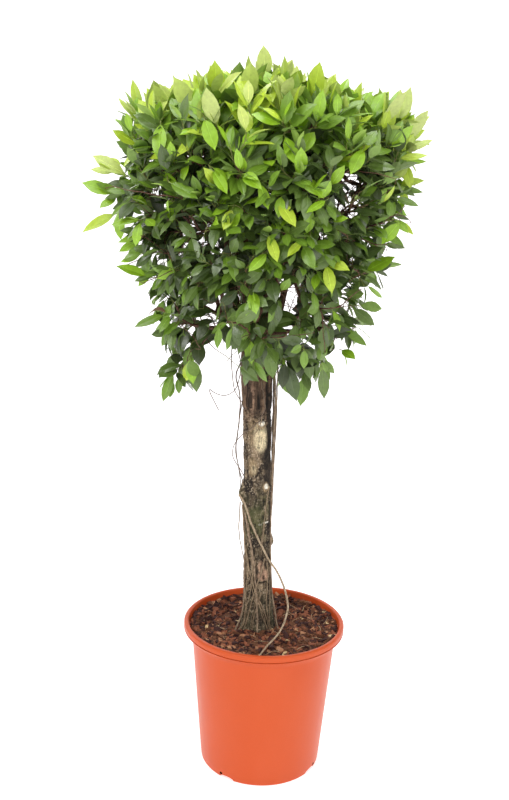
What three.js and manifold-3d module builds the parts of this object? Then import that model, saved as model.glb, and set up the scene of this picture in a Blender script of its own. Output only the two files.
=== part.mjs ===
// Lollipop topiary of a small-leaved fig, standing in a round nursery pot.
// Millimetres, +Z up. The origin is the centre of the pot's flat underside, and the front faces -Y.
// The plant is a trunk, its boughs, hanging air roots and the masses of foliage that make the crown.
import * as THREE from 'three';
import { mergeVertices } from 'three/addons/utils/BufferGeometryUtils.js';
import Module from 'manifold-3d';

const wasm = await Module();
wasm.setup();

const SEAT = 0.3;                       // gap left where two pieces touch
const SLIVER = 0.02;                     // a fused solid's surface may move this far to shed slivers

// Pot: a plastic container with a turned-out rim
const POT_HEIGHT = 275;
const RIM_RADIUS = 150;
const RIM_MOUTH_RADIUS = 140.5;
const RIM_BAND = 14;
const BASE_RADIUS = 112.8;
const SHOULDER_RADIUS = 135.3;          // outside of the wall, just under the rim
const WALL = 3.8;
const FLOOR = 10;
const POT_SIDES = 44;
const NOTCH = { width: 30, height: 6, depth: 9, count: 4, spread: 51, turn: 15 };
const DRAIN_RADIUS = 3.5;

// Soil: coarse bark chips, a hand's width of trunk standing on it
const SOIL_LEVEL = 256;
const SOIL_SIDES = POT_SIDES;
const SOIL_RINGS = 4;
const SOIL_BUMP = 3.2;

// Trunk: level rings from the flat cut at the soil to the swollen fork
const TRUNK_SIDES = 18;
const TRUNK_STEPS = 30;
const FORK_LEVEL = 812;
const TRUNK_LINE = [[256, -12, 0], [300, -13, 1], [392, -16, 3], [540, -21, 4], [695, -26.5, 2],
  [812, -30, 0]];
const TRUNK_GIRTH = [[256, 33], [282, 30], [330, 27], [392, 25.4], [560, 24.6], [695, 25], [750, 27.5],
  [772, 29], [792, 27], [804, 20], [812, 9]];
const FLARE = { lobes: 5, swell: 8, fade: 26 };
const TRUNK_KNOBS = [
  { level: 521, side: 180, swell: 9, tall: 17, wide: 32 },
  { level: 431, side: 4, swell: 4, tall: 10, wide: 24 },
  { level: 642, side: -72, swell: 5, tall: 8, wide: 18 },
  { level: 536, side: -30, swell: 4, tall: 7, wide: 16 },
  { level: 372, side: -80, swell: 3, tall: 9, wide: 50 },
];

// Crown: outline as [level, radius about its own axis], and the axis, which leans with the trunk
const CROWN_OUTLINE = [[700, 108], [740, 148], [775, 162], [810, 176], [880, 195], [930, 213], [1000, 230],
  [1100, 248], [1185, 248], [1240, 205], [1275, 125], [1290, 50]];
const CROWN_AXIS = [[700, -35], [1000, -28], [1290, -20]];
const CROWN_HEART = new THREE.Vector3(-27, 0, 1000);
const HOLLOW_RADIUS = 62;               // bare heart of the crown, where the boughs run
const HOLLOW_TOP = 1030;
const UNDERSIDE = 800;                  // under this level the foliage keeps off the trunk in a cone
const UNDERSIDE_SLOPE = 0.12;
const MASS_GAP = 2.4;

const MASSES = [
  { name: 'mass_top', level: 1185, out: 0, count: 1, turn: 0, stagger: 0 },
  { name: 'mass_upper', level: 1096, out: 152, count: 6, turn: 0, stagger: 20 },
  { name: 'mass_skirt', level: 850, out: 134, count: 6, turn: 30, stagger: 14 },
];
const LEADER = { radius: 10, tip: 5.4 };
const RISING_BOUGH = { radius: 8.4, tip: 4.6, level: 784, climb: 46 };
const LOW_BOUGH = { radius: 7, tip: 4.2, level: 768, climb: 12 };
const BOUGH_SHOULDER = 14;              // straight start of a bough off the trunk
const BOUGH_TURN = 930;                 // level where the rising boughs turn out to their masses
const BOUGH_SIDES = 6;
const BOUGH_STEPS = 5;

// Twigs and leaves
const LEAF = { length: 98, width: 48, belly: 0.46, stalk: 0.7, keel: 1.8 };
const LEAF_OPEN = 62;                   // degrees between a leaf and its shoot
const LEAF_LIFT = 0.55;                 // how far leaves look up, against outward
const LEAF_ROLL = 0.9;
const LEAVES_PER_SHOOT = 4;
const SHOOT = 104;                      // leafy length at a twig's end
const OUTER_SHOOTS = 72;
const INNER_SHOOTS = 8;
const OUTER_DEPTH = 0.97;               // how far out the leaf tips reach, against the crown's outline
const INNER_DEPTH = 0.66;
const AIM = { near: 0.35, far: 0.75 };  // shoots point away from between the crown's heart and their mass's
const TWIG = { root: 3.8, tip: 2.7, sides: 3 };
const STEM = { root: 4.2, tip: 3.2, sides: 5, steps: 3 };
const LIMB_CLEARANCE = 8;
const TWIG_CLEARANCE = 2;
const UP = new THREE.Vector3(0, 0, 1);
const GOLDEN = Math.PI * (3 - Math.sqrt(5));
const STANCES = leafStances();
const CROWN_SEED = 57;

// The furthest leaf tips, which give the crown its own outline
const FAR_TIPS = [[-57, -12, 1294], [-7, 14, 1284], [-225, -8, 1234], [177, 12, 1238], [-262, 8, 1168],
  [238, -6, 1184], [-333, 24, 1072], [-335, -26, 993], [242, 10, 1070], [216, -34, 1028], [-268, -64, 933],
  [194, -60, 962], [-236, -84, 833], [158, -64, 810], [-191, -60, 700], [50, -60, 699], [114, -112, 768],
  [98, -217, 1120], [-150, 225, 1090], [70, 236, 1190], [60, -205, 1215], [-130, -200, 1200],
  [-40, 170, 722]];

// Air roots: stations as [level, side in degrees, gap to the bark past the seat]
const AIR_ROOTS = [
  {
    name: 'air_root_long', radius: 2.3, tip: 1.7, steps: 34,
    route: [[521, 200, 3], [500, 222, 0.4], [470, 246, 0], [438, 272, 0], [402, 302, 1.5], [382, 312, 15],
      [357, 306, 33], [334, 299, 50], [312, 292, 62], [292, 285, 76], [274, 276, 86], [258.6, 272, 89]],
  },
  {
    name: 'air_root_front', radius: 1.9, tip: 1.6, steps: 16,
    route: [[488, 213, 0], [440, 238, 0], [400, 254, 0], [330, 266, 0], [290, 270, 1], [258.6, 270, 5]],
  },
  {
    name: 'air_root_left', radius: 1.9, tip: 1.6, steps: 14,
    route: [[500, 192, 0], [440, 206, 0], [370, 214, 0], [300, 213, 2], [258.6, 211, 13]],
  },
  {
    name: 'air_root_right', radius: 1.8, tip: 1.5, steps: 20,
    route: [[764, 346, 0], [715, 350, 6], [642, 348, 5], [548, 344, 2], [470, 338, 0], [393, 336, 0],
      [330, 340, 1], [258.6, 342, 5]],
  },
  {
    name: 'air_root_right_thin', radius: 1.6, tip: 1.4, steps: 12,
    route: [[762, 8, 0], [700, 14, 4], [640, 10, 3], [560, 6, 0.5], [500, 8, 0]],
  },
  {
    name: 'air_root_wiry', radius: 1.6, tip: 1.4, steps: 18,
    route: [[764, 192, 0.4], [740, 194, 14], [700, 198, 7], [640, 196, 10], [602, 192, 20], [566, 196, 11],
      [541, 204, 0.3]],
  },
];
const AIR_ROOT_SIDES = 5;

const COLOURS = {
  pot: [0xd9633a, 0.42],
  soil: [0x4a2c22, 0.95],
  bark: [0x6b5a47, 0.9],
  airRoot: [0x7d6a50, 0.85],
  bough: [0x5d4b3a, 0.9],
  foliage: [0x5f9a2c, 0.5],
};

// ---- numbers ----

// A repeatable random number from 0 to 1, again and again.
function seeded(seed) {
  let state = seed;
  return () => {
    state = (Math.imul(state, 1664525) + 1013904223) >>> 0;
    return state / 2 ** 32;
  };
}

// Value of a table of [place, value, ...] rows at a place, by straight lines between rows.
function along(table, place, column = 1) {
  if (place <= table[0][0]) {
    return table[0][column];
  }
  for (let row = 1; row < table.length; row += 1) {
    if (place <= table[row][0]) {
      const share = (place - table[row - 1][0]) / (table[row][0] - table[row - 1][0]);
      return THREE.MathUtils.lerp(table[row - 1][column], table[row][column], share);
    }
  }
  return table[table.length - 1][column];
}

const radians = THREE.MathUtils.degToRad;

function compass(degrees, climb = 0) {
  const flat = Math.cos(radians(climb));
  const turn = radians(degrees);
  return new THREE.Vector3(flat * Math.cos(turn), flat * Math.sin(turn), Math.sin(radians(climb)));
}

// ---- solids ----

function closed(geometry) {
  geometry.deleteAttribute('normal');
  geometry.deleteAttribute('uv');
  return mergeVertices(geometry);
}

function toSolid(geometry) {
  const merged = closed(geometry);
  return new wasm.Manifold(new wasm.Mesh({
    numProp: 3,
    vertProperties: Float32Array.from(merged.attributes.position.array),
    triVerts: Uint32Array.from(merged.index.array),
  }));
}

function toGeometry(solid) {
  const mesh = solid.getMesh();
  const geometry = new THREE.BufferGeometry();
  geometry.setAttribute('position', new THREE.BufferAttribute(Float32Array.from(mesh.vertProperties), 3));
  geometry.setIndex(Array.from(mesh.triVerts));
  return geometry;
}

// The one largest body of a fused solid, without slivers: sealed hollows are filled, loose scraps dropped.
function largestBody(solid) {
  const bodies = solid.decompose();
  bodies.sort((first, second) => second.volume() - first.volume());
  return bodies[0].asOriginal().simplify(SLIVER);
}

function piece(name, geometry, [colour, roughness]) {
  const shape = geometry.attributes.normal ? closed(geometry) : geometry;
  shape.computeVertexNormals();
  const material = new THREE.MeshStandardMaterial({ color: colour, roughness, metalness: 0 });
  const mesh = new THREE.Mesh(shape, material);
  mesh.name = name;
  return mesh;
}

// A tapering limb along a smooth line through points: a cylinder whose rings are moved onto it.
function limbGeometry(points, rootRadius, tipRadius, sides, steps) {
  const line = new THREE.CatmullRomCurve3(points, false, 'centripetal');
  const frames = line.computeFrenetFrames(steps);
  const rod = new THREE.CylinderGeometry(1, 1, 1, sides, steps);
  const spots = rod.attributes.position;
  for (let i = 0; i < spots.count; i += 1) {
    const share = spots.getY(i) + 0.5;
    const ring = Math.round(share * steps);
    const radius = THREE.MathUtils.lerp(rootRadius, tipRadius, share);
    const spot = line.getPointAt(share);
    spot.addScaledVector(frames.binormals[ring], spots.getX(i) * radius);
    spot.addScaledVector(frames.normals[ring], spots.getZ(i) * radius);
    spots.setXYZ(i, spot.x, spot.y, spot.z);
  }
  return rod;
}

// ---- pot and soil ----

function potWallRadius(level) {
  const wallTop = POT_HEIGHT - RIM_BAND;
  return THREE.MathUtils.lerp(BASE_RADIUS, SHOULDER_RADIUS, level / wallTop);
}

function buildPot() {
  const wallTop = POT_HEIGHT - RIM_BAND;
  const round = 3.4;
  const innerTop = wallTop - 5;
  const profile = new THREE.Path();
  profile.moveTo(0, 0);
  profile.lineTo(BASE_RADIUS - 2, 0);
  profile.lineTo(BASE_RADIUS, 2);
  profile.lineTo(SHOULDER_RADIUS, wallTop - 2);
  profile.lineTo(RIM_RADIUS - 2, wallTop);
  profile.lineTo(RIM_RADIUS, wallTop + 2);
  profile.lineTo(RIM_RADIUS, POT_HEIGHT - round);
  profile.absarc(RIM_RADIUS - round, POT_HEIGHT - round, round, 0, Math.PI / 2, false);
  profile.lineTo(RIM_MOUTH_RADIUS + 2, POT_HEIGHT);
  profile.lineTo(RIM_MOUTH_RADIUS, POT_HEIGHT - 2);
  profile.lineTo(RIM_MOUTH_RADIUS - 1, wallTop + 2);
  profile.lineTo(potWallRadius(innerTop) - WALL, innerTop);
  profile.lineTo(potWallRadius(FLOOR) - WALL, FLOOR);
  profile.lineTo(0, FLOOR);
  const turned = new THREE.LatheGeometry(profile.getPoints(2), POT_SIDES);
  turned.rotateX(Math.PI / 2);
  let solid = toSolid(turned);
  if (solid.volume() < 0) {
    throw new Error('pot is inside out');
  }
  for (let i = 0; i < NOTCH.count; i += 1) {
    const pair = i < NOTCH.count / 2 ? NOTCH.turn - 90 : NOTCH.turn + 90;
    const side = pair + (i % 2 === 0 ? -NOTCH.spread : NOTCH.spread);
    solid = solid.subtract(toSolid(notchGeometry(side)));
    solid = solid.subtract(toSolid(drainGeometry(side)));
  }
  return piece('pot', toGeometry(largestBody(solid)), COLOURS.pot);
}

// A foot notch: an arched recess in the bottom edge of the wall.
function notchGeometry(side) {
  const half = NOTCH.width / 2;
  const arch = new THREE.Shape();
  arch.moveTo(-half, -2);
  arch.lineTo(half, -2);
  arch.lineTo(half, 0);
  arch.quadraticCurveTo(0, NOTCH.height * 2, -half, 0);
  const options = { depth: NOTCH.depth * 2, bevelEnabled: false, curveSegments: 5 };
  const block = new THREE.ExtrudeGeometry(arch, options);
  block.rotateX(Math.PI / 2);
  block.rotateZ(Math.PI / 2);
  block.translate(BASE_RADIUS - NOTCH.depth, 0, 0);
  block.rotateZ(radians(side));
  return block;
}

// A drain hole through the floor, just inside its notch.
function drainGeometry(side) {
  const drill = new THREE.CylinderGeometry(DRAIN_RADIUS, DRAIN_RADIUS, FLOOR * 2, 12);
  drill.rotateX(Math.PI / 2);
  drill.translate(BASE_RADIUS - NOTCH.depth - DRAIN_RADIUS * 2, 0, FLOOR / 2);
  drill.rotateZ(radians(side));
  return drill;
}

// Height of the soil at a place: flat under the trunk's foot, lumpy around it, low at the wall.
function soilLevel(x, y) {
  const fromTrunk = Math.hypot(x - TRUNK_LINE[0][1], y - TRUNK_LINE[0][2]);
  const fromAxis = Math.hypot(x, y);
  const lump = Math.sin(x * 0.083 + 1.1) * Math.cos(y * 0.071 - 0.6) + 0.5 * Math.sin(x * 0.19 - y * 0.16);
  const footPad = THREE.MathUtils.smoothstep(fromTrunk, 50, 72);
  const dip = THREE.MathUtils.smoothstep(fromAxis, 96, 130);
  return SOIL_LEVEL - SEAT + footPad * SOIL_BUMP * (lump - 0.3) - dip * SOIL_BUMP;
}

function buildSoil() {
  const bottomRadius = potWallRadius(FLOOR) - WALL - SEAT;
  const topRadius = potWallRadius(SOIL_LEVEL - 12) - WALL - SEAT;
  const profile = [new THREE.Vector2(0, FLOOR + SEAT), new THREE.Vector2(bottomRadius - 1, FLOOR + SEAT)];
  for (let ring = 0; ring < SOIL_RINGS; ring += 1) {
    profile.push(new THREE.Vector2(topRadius * (1 - ring / SOIL_RINGS), SOIL_LEVEL - SEAT));
  }
  profile.push(new THREE.Vector2(0, SOIL_LEVEL - SEAT));
  const fill = new THREE.LatheGeometry(profile, SOIL_SIDES);
  fill.rotateX(Math.PI / 2);
  const spots = fill.attributes.position;
  for (let i = 0; i < spots.count; i += 1) {
    if (spots.getZ(i) > SOIL_LEVEL / 2) {
      const rim = Math.hypot(spots.getX(i), spots.getY(i)) > topRadius - 1;
      spots.setZ(i, rim ? SOIL_LEVEL - 12 : soilLevel(spots.getX(i), spots.getY(i)));
    }
  }
  return piece('soil', toGeometry(toSolid(fill)), COLOURS.soil);
}

// ---- trunk and air roots ----

function trunkCentre(level) {
  return new THREE.Vector3(along(TRUNK_LINE, level, 1), along(TRUNK_LINE, level, 2), level);
}

function angleBetween(first, second) {
  const turn = Math.abs(first - second) % 360;
  return Math.min(turn, 360 - turn);
}

// Radius of the trunk at a level and a side: girth, root flare and knobs.
function trunkRadius(level, side) {
  const flare = FLARE.swell * Math.exp(-(level - SOIL_LEVEL) / FLARE.fade);
  let radius = along(TRUNK_GIRTH, level) + flare * Math.cos(FLARE.lobes * radians(side) + 0.7);
  for (const knob of TRUNK_KNOBS) {
    const high = (level - knob.level) / knob.tall;
    const round = angleBetween(side, knob.side) / knob.wide;
    radius += knob.swell * Math.exp(-high * high - round * round);
  }
  return radius;
}

function buildTrunk() {
  const height = FORK_LEVEL - SOIL_LEVEL;
  const column = new THREE.CylinderGeometry(1, 1, 1, TRUNK_SIDES, TRUNK_STEPS);
  column.rotateX(Math.PI / 2);
  const spots = column.attributes.position;
  for (let i = 0; i < spots.count; i += 1) {
    const level = SOIL_LEVEL + (spots.getZ(i) + 0.5) * height;
    const side = THREE.MathUtils.radToDeg(Math.atan2(spots.getY(i), spots.getX(i)));
    const reach = Math.hypot(spots.getX(i), spots.getY(i)) * trunkRadius(level, side);
    const spot = trunkCentre(level).addScaledVector(compass(side), reach);
    spots.setXYZ(i, spot.x, spot.y, spot.z);
  }
  return piece('trunk', column, COLOURS.bark);
}

// Place of a station given as level, side and stand-off from the bark.
function offBark(level, side, standOff) {
  return trunkCentre(level).addScaledVector(compass(side), trunkRadius(level, side) + standOff);
}

function airRootPoints(root) {
  const toSide = SEAT + root.radius * Math.cos(Math.PI / AIR_ROOT_SIDES);
  const last = root.route.length - 1;
  const stations = root.route.map((station, i) => [i / last, ...station]);
  const points = [];
  for (let i = 0; i <= root.steps; i += 1) {
    const share = i / root.steps;
    const standOff = along(stations, share, 3) + toSide;
    points.push(offBark(along(stations, share, 1), along(stations, share, 2), standOff));
  }
  return points;
}

function buildAirRoots(limbs) {
  return AIR_ROOTS.map((root) => {
    const points = airRootPoints(root);
    limbs.push({ points, radii: [root.radius, root.tip] });
    const shape = limbGeometry(points, root.radius, root.tip, AIR_ROOT_SIDES, root.steps);
    return piece(root.name, shape, COLOURS.airRoot);
  });
}

// ---- crown space ----

function crownAxisX(level) {
  return along(CROWN_AXIS, level);
}

function fromCrownAxis(spot) {
  return Math.hypot(spot.x - crownAxisX(spot.z), spot.y);
}

function inCrown(spot) {
  const bottom = CROWN_OUTLINE[0][0];
  const top = CROWN_OUTLINE[CROWN_OUTLINE.length - 1][0];
  if (spot.z < bottom || spot.z > top) {
    return false;
  }
  return fromCrownAxis(spot) < along(CROWN_OUTLINE, spot.z);
}

// The bare heart, and the cone under the crown, that foliage keeps out of.
function inHollow(spot, mass) {
  const under = HOLLOW_RADIUS + Math.max(0, UNDERSIDE - spot.z) * UNDERSIDE_SLOPE;
  const bare = spot.z < HOLLOW_TOP && mass.out > 0;
  return bare && fromCrownAxis(spot) < under;
}

function massList() {
  const masses = [];
  for (const kind of MASSES) {
    for (let i = 0; i < kind.count; i += 1) {
      const side = kind.turn + (360 * i) / kind.count;
      const level = kind.level + (i % 2 === 0 ? kind.stagger : -kind.stagger);
      const centre = compass(side).multiplyScalar(kind.out);
      centre.add(new THREE.Vector3(crownAxisX(level), 0, level));
      const name = kind.count > 1 ? `${kind.name}_${i + 1}` : kind.name;
      masses.push({ name, centre, side, out: kind.out, level });
    }
  }
  return masses;
}

// Inside a mass's own space: nearer its centre than any other's, with half the gap to spare.
function inSpace(spot, mass, masses) {
  if (inHollow(spot, mass)) {
    return false;
  }
  for (const other of masses) {
    if (other !== mass) {
      const way = new THREE.Vector3().subVectors(other.centre, mass.centre);
      const half = new THREE.Vector3().addVectors(other.centre, mass.centre).multiplyScalar(0.5);
      const past = new THREE.Vector3().subVectors(spot, half).dot(way.normalize());
      if (past > -MASS_GAP / 2) {
        return false;
      }
    }
  }
  return true;
}

// ---- boughs ----

// Seat of a bough on the trunk's swollen head: square to the face that its way out passes through.
function boughSeat(trunk, kind, side) {
  const way = compass(side, kind.climb);
  const outside = trunkCentre(kind.level).addScaledVector(way, RIM_RADIUS);
  const [hit] = new THREE.Raycaster(outside, way.negate()).intersectObject(trunk);
  const outward = hit.face.normal.clone();
  return { place: hit.point.addScaledVector(outward, SEAT), way: outward };
}

// A bough ends where it enters its mass.
function boughEnd(mass, masses, from) {
  const steps = 60;
  for (let i = 1; i <= steps; i += 1) {
    const spot = new THREE.Vector3().lerpVectors(from, mass.centre, i / steps);
    if (inSpace(spot, mass, masses)) {
      return spot;
    }
  }
  return mass.centre.clone();
}

function leaderPoints(mass, masses) {
  const root = trunkCentre(FORK_LEVEL).add(new THREE.Vector3(0, 0, SEAT));
  const tip = boughEnd(mass, masses, root);
  const upright = root.clone().add(new THREE.Vector3(0, 0, 30));
  const sway = new THREE.Vector3().lerpVectors(root, tip, 0.5).add(new THREE.Vector3(9, -6, 0));
  return [root, upright, sway, tip];
}

function boughPoints(kind, mass, masses, trunk) {
  if (kind === LEADER) {
    return leaderPoints(mass, masses);
  }
  const { place, way } = boughSeat(trunk, kind, mass.side);
  const bend = place.clone().addScaledVector(way, BOUGH_SHOULDER);
  const turn = new THREE.Vector3(crownAxisX(BOUGH_TURN), 0, BOUGH_TURN);
  const tip = boughEnd(mass, masses, kind === RISING_BOUGH ? turn : bend);
  return [place, bend, tip];
}

function boughKind(mass) {
  if (mass.out === 0) {
    return LEADER;
  }
  return mass.level > HOLLOW_TOP ? RISING_BOUGH : LOW_BOUGH;
}

// Builds the boughs, and notes on each mass where and which way its bough enters it.
function buildBoughs(masses, limbs, trunk) {
  return masses.map((mass) => {
    const kind = boughKind(mass);
    const points = boughPoints(kind, mass, masses, trunk);
    const line = new THREE.CatmullRomCurve3(points, false, 'centripetal');
    mass.entry = line.getPointAt(1);
    mass.entryWay = line.getTangentAt(1);
    limbs.push({ points: line.getSpacedPoints(BOUGH_STEPS), radii: [kind.radius, kind.tip] });
    const shape = limbGeometry(points, kind.radius, kind.tip, BOUGH_SIDES, BOUGH_STEPS);
    return piece(mass.name.replace('mass', 'bough'), shape, COLOURS.bough);
  });
}

// ---- foliage ----

function limbDistance(start, end, limb) {
  let nearest = Infinity;
  const samples = Math.max(2, Math.ceil(start.distanceTo(end) / 6));
  for (let s = 0; s <= samples; s += 1) {
    const spot = new THREE.Vector3().lerpVectors(start, end, s / samples);
    for (let i = 1; i < limb.points.length; i += 1) {
      const link = new THREE.Line3(limb.points[i - 1], limb.points[i]);
      const near = link.closestPointToPoint(spot, true, new THREE.Vector3());
      nearest = Math.min(nearest, near.distanceTo(spot) - limb.radii[0]);
    }
  }
  return nearest;
}

function clearOfLimbs(start, end, limbs, clearance) {
  return limbs.every((limb) => limbDistance(start, end, limb) > clearance);
}

// A leaf of eight faces: a short thick stalk end, two shoulders and a drawn-out tip.
function leafGeometry(leaf) {
  const half = (LEAF.width / 2) * (leaf.length / LEAF.length);
  const shoulder = leaf.length * LEAF.belly;
  const corners = [[-LEAF.stalk, 0, 0], [LEAF.stalk, 0, 0], [0, 0, -LEAF.keel], [-half, shoulder, 0],
    [half, shoulder, 0], [0, leaf.length, 0]];
  const faces = [0, 1, 4, 0, 4, 3, 3, 4, 5, 0, 3, 2, 3, 5, 2, 5, 4, 2, 4, 1, 2, 0, 2, 1];
  const geometry = new THREE.BufferGeometry();
  geometry.setAttribute('position', new THREE.Float32BufferAttribute(corners.flat(), 3));
  geometry.setIndex(faces);
  geometry.applyMatrix4(leafFrame(leaf));
  return geometry;
}

function leafFrame(leaf) {
  const across = new THREE.Vector3().crossVectors(leaf.way, leaf.face).normalize();
  const up = new THREE.Vector3().crossVectors(across, leaf.way).normalize();
  return new THREE.Matrix4().makeBasis(across, leaf.way, up).setPosition(leaf.root);
}

function leafCorners(leaf) {
  const half = (LEAF.width / 2) * (leaf.length / LEAF.length);
  const shoulder = leaf.length * LEAF.belly;
  const frame = leafFrame(leaf);
  const corners = [[-half, shoulder, 0], [half, shoulder, 0], [0, leaf.length, 0],
    [0, shoulder, -LEAF.keel]];
  return corners.map((corner) => new THREE.Vector3(...corner).applyMatrix4(frame));
}

// Whether a straight edge passes through a leaf, given by its root and corners.
function edgeCutsLeaf(start, end, [root, left, right, tip]) {
  const way = new THREE.Vector3().subVectors(end, start);
  const length = way.length();
  const ray = new THREE.Ray(start, way.normalize());
  for (const [first, second, third] of [[root, right, left], [left, right, tip]]) {
    const hit = ray.intersectTriangle(first, second, third, false, new THREE.Vector3());
    if (hit && hit.distanceTo(start) < length) {
      return true;
    }
  }
  return false;
}

function leavesCross(first, second) {
  const rim = ([root, left, right, tip]) => [[root, left], [left, tip], [tip, right], [right, root]];
  return rim(first).some(([start, end]) => edgeCutsLeaf(start, end, second))
    || rim(second).some(([start, end]) => edgeCutsLeaf(start, end, first));
}

function leafFits(leaf, growth, masses, limbs) {
  const [left, right, tip, belly] = leafCorners(leaf);
  for (const corner of [left, right, tip, belly]) {
    if (!inSpace(corner, growth.mass, masses) || !(leaf.far || inCrown(corner))) {
      return false;
    }
  }
  const outline = [leaf.root, left, right, tip];
  const crossed = growth.outlines.some((other) => leavesCross(outline, other))
    || growth.twigs.some((twig) => twig !== leaf.twig && edgeCutsLeaf(twig.from, twig.to, outline));
  if (crossed) {
    return false;
  }
  return clearOfLimbs(leaf.root, tip, limbs, LIMB_CLEARANCE)
    && clearOfLimbs(left, right, limbs, LIMB_CLEARANCE);
}

// Shoot ends spread evenly over the crown: a sunflower pattern of directions from its heart.
function shootEnds(count, depth) {
  const ends = [];
  for (let i = 0; i < count; i += 1) {
    const climb = 1 - (2 * (i + 0.5)) / count;
    const flat = Math.sqrt(1 - climb * climb);
    const way = new THREE.Vector3(flat * Math.cos(i * GOLDEN), flat * Math.sin(i * GOLDEN), climb);
    let reach = 0;
    while (inCrown(CROWN_HEART.clone().addScaledVector(way, reach + 4))) {
      reach += 4;
    }
    ends.push({ tip: CROWN_HEART.clone().addScaledVector(way, reach * depth), far: false });
  }
  return ends;
}

function farEnds() {
  return FAR_TIPS.map((place) => ({ tip: new THREE.Vector3(...place), far: true }));
}

// The best knot of the growing stem to leave from: near, and not by turning back on itself.
function nearestKnot(knots, spot) {
  let best = null;
  let bestCost = Infinity;
  for (const knot of knots) {
    const way = new THREE.Vector3().subVectors(spot, knot.place);
    const distance = way.length();
    const turn = 1 - way.normalize().dot(knot.way);
    const cost = distance * (1 + 0.35 * turn) + 0.15 * knot.run;
    if (distance > 6 && cost < bestCost) {
      best = knot;
      bestCost = cost;
    }
  }
  return best;
}

function addKnots(knots, from, to, run) {
  const way = new THREE.Vector3().subVectors(to, from);
  const length = way.length();
  way.normalize();
  const count = Math.max(1, Math.round(length / 30));
  for (let i = 1; i <= count; i += 1) {
    const place = new THREE.Vector3().lerpVectors(from, to, i / count);
    knots.push({ place, way, run: run + (length * i) / count });
  }
}

function twigFits(from, to, mass, masses, limbs) {
  for (const share of [0.25, 0.5, 0.75, 1]) {
    if (!inSpace(new THREE.Vector3().lerpVectors(from, to, share), mass, masses)) {
      return false;
    }
  }
  const start = new THREE.Vector3().lerpVectors(from, to, 0.12);
  return clearOfLimbs(start, to, limbs, TWIG.root + TWIG_CLEARANCE);
}

// Twigs first: each leaves the growing stem at its nearest knot and ends in a leafy shoot.
function growTwigs(growth, shoots, masses, limbs) {
  for (const shoot of shoots) {
    const knot = nearestKnot(growth.knots, shoot.end);
    if (twigFits(knot.place, shoot.end, growth.mass, masses, limbs)) {
      const length = knot.place.distanceTo(shoot.end);
      const twig = { from: knot.place, to: shoot.end };
      const base = new THREE.Vector3().lerpVectors(shoot.end, knot.place, Math.min(0.86, SHOOT / length));
      const way = new THREE.Vector3().subVectors(shoot.end, base).normalize();
      growth.twigs.push(twig);
      growth.shoots.push({ ...shoot, base, way, twig });
      addKnots(growth.knots, knot.place, base.clone().lerp(shoot.end, 0.3), knot.run);
    }
  }
}

// Ways a leaf may stand, best first: [share of the open angle, extra turn, share of its length].
function leafStances() {
  const stances = [];
  for (const size of [1, 0.84, 0.68]) {
    for (const open of [1, 0.75, 1.35]) {
      for (const turn of [0, 0.45, -0.45, 0.9, -0.9]) {
        stances.push([open, turn, size]);
      }
    }
  }
  return stances;
}

function addLeaf(growth, leaf, masses, limbs) {
  if (!leafFits(leaf, growth, masses, limbs)) {
    return false;
  }
  const [left, right, tip] = leafCorners(leaf);
  growth.outlines.push([leaf.root, left, right, tip]);
  growth.leaves.push(leaf);
  return true;
}

// A leaf's upper side looks outward and up, rolled to the left or right by a share of the tilt.
function leafFace(way, roll) {
  const sideways = new THREE.Vector3().crossVectors(way, UP).normalize();
  return new THREE.Vector3(0, 0, LEAF_LIFT).addScaledVector(sideways, roll);
}

function growEndLeaf(growth, shoot, masses, limbs, random) {
  const face = leafFace(shoot.leafWay, random() < 0.5 ? -1 : 1);
  for (const size of [1, 0.85, 0.7]) {
    const { end: root, leafWay: way, leafLength, twig, far } = shoot;
    const leaf = { root, way, face, length: leafLength * size, twig, far };
    if (addLeaf(growth, leaf, masses, limbs)) {
      return;
    }
  }
}

// Leaves along a shoot, each a golden turn on from the last, one at a time in the first stance that fits.
function growSideLeaves(growth, shoot, masses, limbs, random) {
  const side = new THREE.Vector3().crossVectors(shoot.way, new THREE.Vector3(0.13, 0.21, 1)).normalize();
  const other = new THREE.Vector3().crossVectors(shoot.way, side);
  const start = random() * 2 * Math.PI;
  for (let i = 0; i < LEAVES_PER_SHOOT; i += 1) {
    const share = i / (LEAVES_PER_SHOOT - 1);
    const root = new THREE.Vector3().lerpVectors(shoot.base, shoot.end, 0.06 + 0.8 * share);
    const length = LEAF.length * (0.84 + 0.2 * random());
    const roll = LEAF_ROLL * (2 * random() - 1);
    for (const [open, extra, size] of STANCES) {
      const angle = radians(LEAF_OPEN * open);
      const turn = start + i * GOLDEN + extra;
      const way = shoot.way.clone().multiplyScalar(Math.cos(angle));
      way.addScaledVector(side, Math.sin(angle) * Math.cos(turn));
      way.addScaledVector(other, Math.sin(angle) * Math.sin(turn)).normalize();
      const face = leafFace(shoot.way, roll).add(shoot.way);
      const leaf = { root, way, face, length: length * size, twig: shoot.twig, far: false };
      if (addLeaf(growth, leaf, masses, limbs)) {
        break;
      }
    }
  }
}

function shootsOf(mass, masses, ends, random) {
  return ends.filter((end) => inSpace(end.tip, mass, masses)).map((end) => {
    const source = new THREE.Vector3().lerpVectors(CROWN_HEART, mass.centre, end.far ? AIM.far : AIM.near);
    const way = new THREE.Vector3().subVectors(end.tip, source).normalize();
    const leafLength = LEAF.length * (end.far ? 0.95 : 0.86 + 0.2 * random());
    const shootEnd = end.tip.clone().addScaledVector(way, -leafLength);
    return { end: shootEnd, leafLength, leafWay: way, far: end.far };
  });
}

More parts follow.
